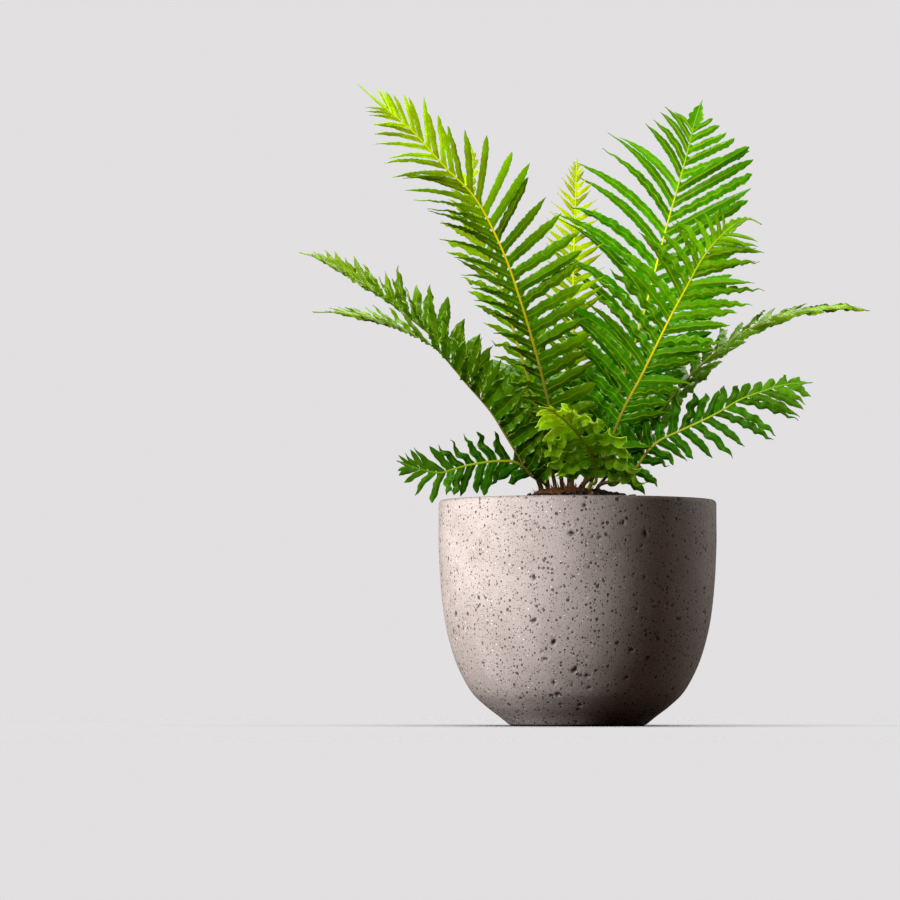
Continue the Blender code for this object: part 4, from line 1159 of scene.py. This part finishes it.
def add_blade(shape, layers, blade, draw):
    """A blade on its midrib. layers are the bmesh's place and grown attributes."""
    count = len(blade.ribs) - 1
    phases = {side: draw.uniform(0, math.tau) for side in (-1, 1)}
    slow = draw.uniform(0, math.tau)
    strength = draw.uniform(0.5, 1.4) * blade.ripple
    size = min(1.0, blade.half / FULL_HALF)
    pitch = blade.pitch * draw.uniform(0.85, 1.3)
    twist = draw.uniform(-1, 1) * TWIST
    curl = draw.uniform(-1, 1) * CURL * blade.length
    fold = blade.fold * draw.uniform(0.4, 1.5)
    point = blade.point * draw.uniform(0.8, 1.2)
    verts = bmesh.ops.create_grid(shape, x_segments=count, y_segments=BLADE_ACROSS, size=1.0)["verts"]
    for vert in verts:
        step = round((vert.co.x + 1) / 2 * count)
        side = vert.co.y
        done = step / count
        run = done * blade.length
        rib = blade.ribs[step]
        wide = rib.wide.copy()
        wide.rotate(Quaternion(rib.way, twist * done ** 1.5))
        face = rib.way.cross(wide) * blade.side
        half = blade.half * outline(done, point)
        edge = 1 if side > 0 else -1
        wave = math.tau * run / pitch + phases[edge] + 1.6 * math.sin(run / 7.0 + slow * edge)
        uneven = 0.45 + 1.1 * abs(noise.noise(Vector((run / 6.0, 7.0 * edge, slow * 3))))
        half += SCALLOP * blade.teeth * size * (abs(math.sin(wave / 2)) - 0.6) * min(1.0, half / 2.0) * abs(side)
        half = max(half, TIP_HALF)
        settle = min(1.0, run / ROOT)
        if settle < 1:
            settle = settle * settle * (3 - 2 * settle)
            wide = (blade.root / blade.half).lerp(wide, settle)
        wander = SWAY * strength ** 2 * size * settle * min(1.0, run / SWAY_PITCH)
        turn = math.tau * run / (SWAY_PITCH * pitch / blade.pitch) + slow
        out = RUFFLE * strength * size * uneven * settle * min(1.0, half / 2.5) * side * side * math.sin(wave)
        out += curl * done ** 2 - fold * abs(side) * half * settle + wander * math.cos(turn)
        vert.co = rib.place + wide * (half * side + wander * math.sin(turn)) + face * out
        vert[layers[0]] = (run, half * side, abs(side) * size)
        vert[layers[1]] = (blade.share, blade.chance, done)


print("blade outline at 0.5, 0.8, 0.95:", [round(outline(done, 1.0), 2) for done in (0.5, 0.8, 0.95)])


# %% Leaflets and end lobe of a frond
def leaflet_blade(growth, lift_more, shorter, finish):
    """The fine blade of a leaflet, on the midrib that its plain one has."""
    _, _, length = midrib(growth, lift_more, shorter, 1)
    steps = max(6, round(length / BLADE_STEP))
    ribs, half, length = midrib(growth, lift_more, shorter, steps)
    half *= finish.full_low + (finish.full_top - finish.full_low) * growth.lower.share
    low, high = notches(growth)
    inward = growth.lower.across * growth.side * growth.lower.half * 0.7
    start = Rib((low + high) / 2 - inward, ribs[0].way, ribs[0].wide)
    point = finish.point_right if growth.side > 0 else finish.point_left
    chance = 0.5 + 0.5 * growth.chance[0] / CHANCE[0]
    return Blade([start] + ribs, half, length, growth.lower.share, chance, point, finish.ripple, finish.pitch,
                 finish.fold, 1.0, growth.side, (high - low) / 2)


def end_blade(grown, finish):
    """The lobe that ends the frond, on the end of its line."""
    frond, line = grown[:2]
    steps = max(8, round(frond.tip / BLADE_STEP))
    first = 1.0 - frond.tip / line.length
    shares = [first + (1.0 - first) * step / steps for step in range(steps + 1)]
    crosses = [cross_section(frond, line, share) for share in shares]
    ribs = [Rib(cross.centre, cross.along, cross.across) for cross in crosses]
    half = frond.lobe
    teeth = LOBE_TEETH * min(1.0, half / FULL_HALF)
    return Blade(ribs, half, frond.tip, 1.0, 0.5, LOBE_POINT, finish.ripple * 0.5, finish.pitch, 0.2, teeth, 1,
                 ribs[0].wide * half)


# %% A stalk
STALK_SIDES = 10
STALK_RINGS = 70


def add_stalk(shape, layers, grown):
    """A slender tube along the frond's line: each ring is drawn out of the one before and set in its place."""
    angle = shape.verts.layers.float["angle"]
    ring = bmesh.ops.create_circle(shape, cap_ends=True, segments=STALK_SIDES, radius=1.0)["verts"]
    for index, vert in enumerate(ring):
        vert[angle] = math.tau * index / STALK_SIDES
    faces = set(ring[0].link_faces)
    edges = list(dict.fromkeys(edge for vert in ring for edge in vert.link_edges))
    for step in range(STALK_RINGS + 1):
        if step:
            drawn = bmesh.ops.extrude_edge_only(shape, edges=edges)["geom"]
            ring = [item for item in drawn if isinstance(item, bmesh.types.BMVert)]
            edges = [item for item in drawn if isinstance(item, bmesh.types.BMEdge) and item.is_boundary]
            faces |= {item for item in drawn if isinstance(item, bmesh.types.BMFace)}
        cross = cross_section(grown.frond, grown.line, min(step / STALK_RINGS, 0.995))
        for vert in ring:
            turn = vert[angle]
            groove = 1.0 - 0.25 * max(0.0, math.sin(turn)) ** 4
            vert.co = (cross.centre + cross.across * cross.half * math.cos(turn)
                       + cross.face * cross.half * 0.88 * math.sin(turn) * groove)
            vert[layers[1]] = (cross.share, 0.5, 0.0)
    faces |= set(bmesh.ops.edgeloop_fill(shape, edges=edges)["faces"])
    for face in faces:
        face.material_index = 1


# %% [markdown]
# ## Fronds
# A frond's blades are first one open sheet. A Solidify modifier gives them their thickness. Its simple mode
# moves each point by half the thickness and no more, however sharply a ruffle folds. Then the stalk is drawn
# through the blades, so that each root is sunk in it. Every frond is one piece and replaces its plain solid.

# %% Build the fronds
def thickened(sheet):
    """A sheet of blades with its thickness, as a new bmesh."""
    mesh = bpy.data.meshes.new("blades")
    sheet.to_mesh(mesh)
    sheet.free()
    made = bpy.data.objects.new("blades", mesh)
    scene.collection.objects.link(made)
    solid = made.modifiers.new("Thickness", "SOLIDIFY")
    solid.thickness = BLADE_THICK
    solid.offset = 0.0
    mesh = applied(made)
    bpy.data.objects.remove(made)
    thick = bmesh.new()
    thick.from_mesh(mesh)
    return thick


def build_frond(grown):
    frond = grown.frond
    finish = FINISHES[frond.leaf]
    draw = random.Random("blades " + frond.name)
    shape = bmesh.new()
    layers = (shape.verts.layers.float_vector.new("place"), shape.verts.layers.float_vector.new("grown"))
    shape.verts.layers.float.new("angle")
    layers = (shape.verts.layers.float_vector["place"], shape.verts.layers.float_vector["grown"])
    for growth, lift_more, shorter in grown.leaflets:
        add_blade(shape, layers, leaflet_blade(growth, lift_more, shorter, finish), draw)
    add_blade(shape, layers, end_blade(grown, finish), draw)
    shape = thickened(shape)
    layers = (shape.verts.layers.float_vector["place"], shape.verts.layers.float_vector["grown"])
    add_stalk(shape, layers, grown)
    bmesh.ops.recalc_face_normals(shape, faces=shape.faces[:])
    name = frond.name.replace("frond_", "fern_frond_")
    mesh = make_mesh(name, shape, paints[frond.leaf])
    return finished(name, mesh, frond.name, 50.0, leaf_group)


for grown in grown_fronds:
    build_frond(grown)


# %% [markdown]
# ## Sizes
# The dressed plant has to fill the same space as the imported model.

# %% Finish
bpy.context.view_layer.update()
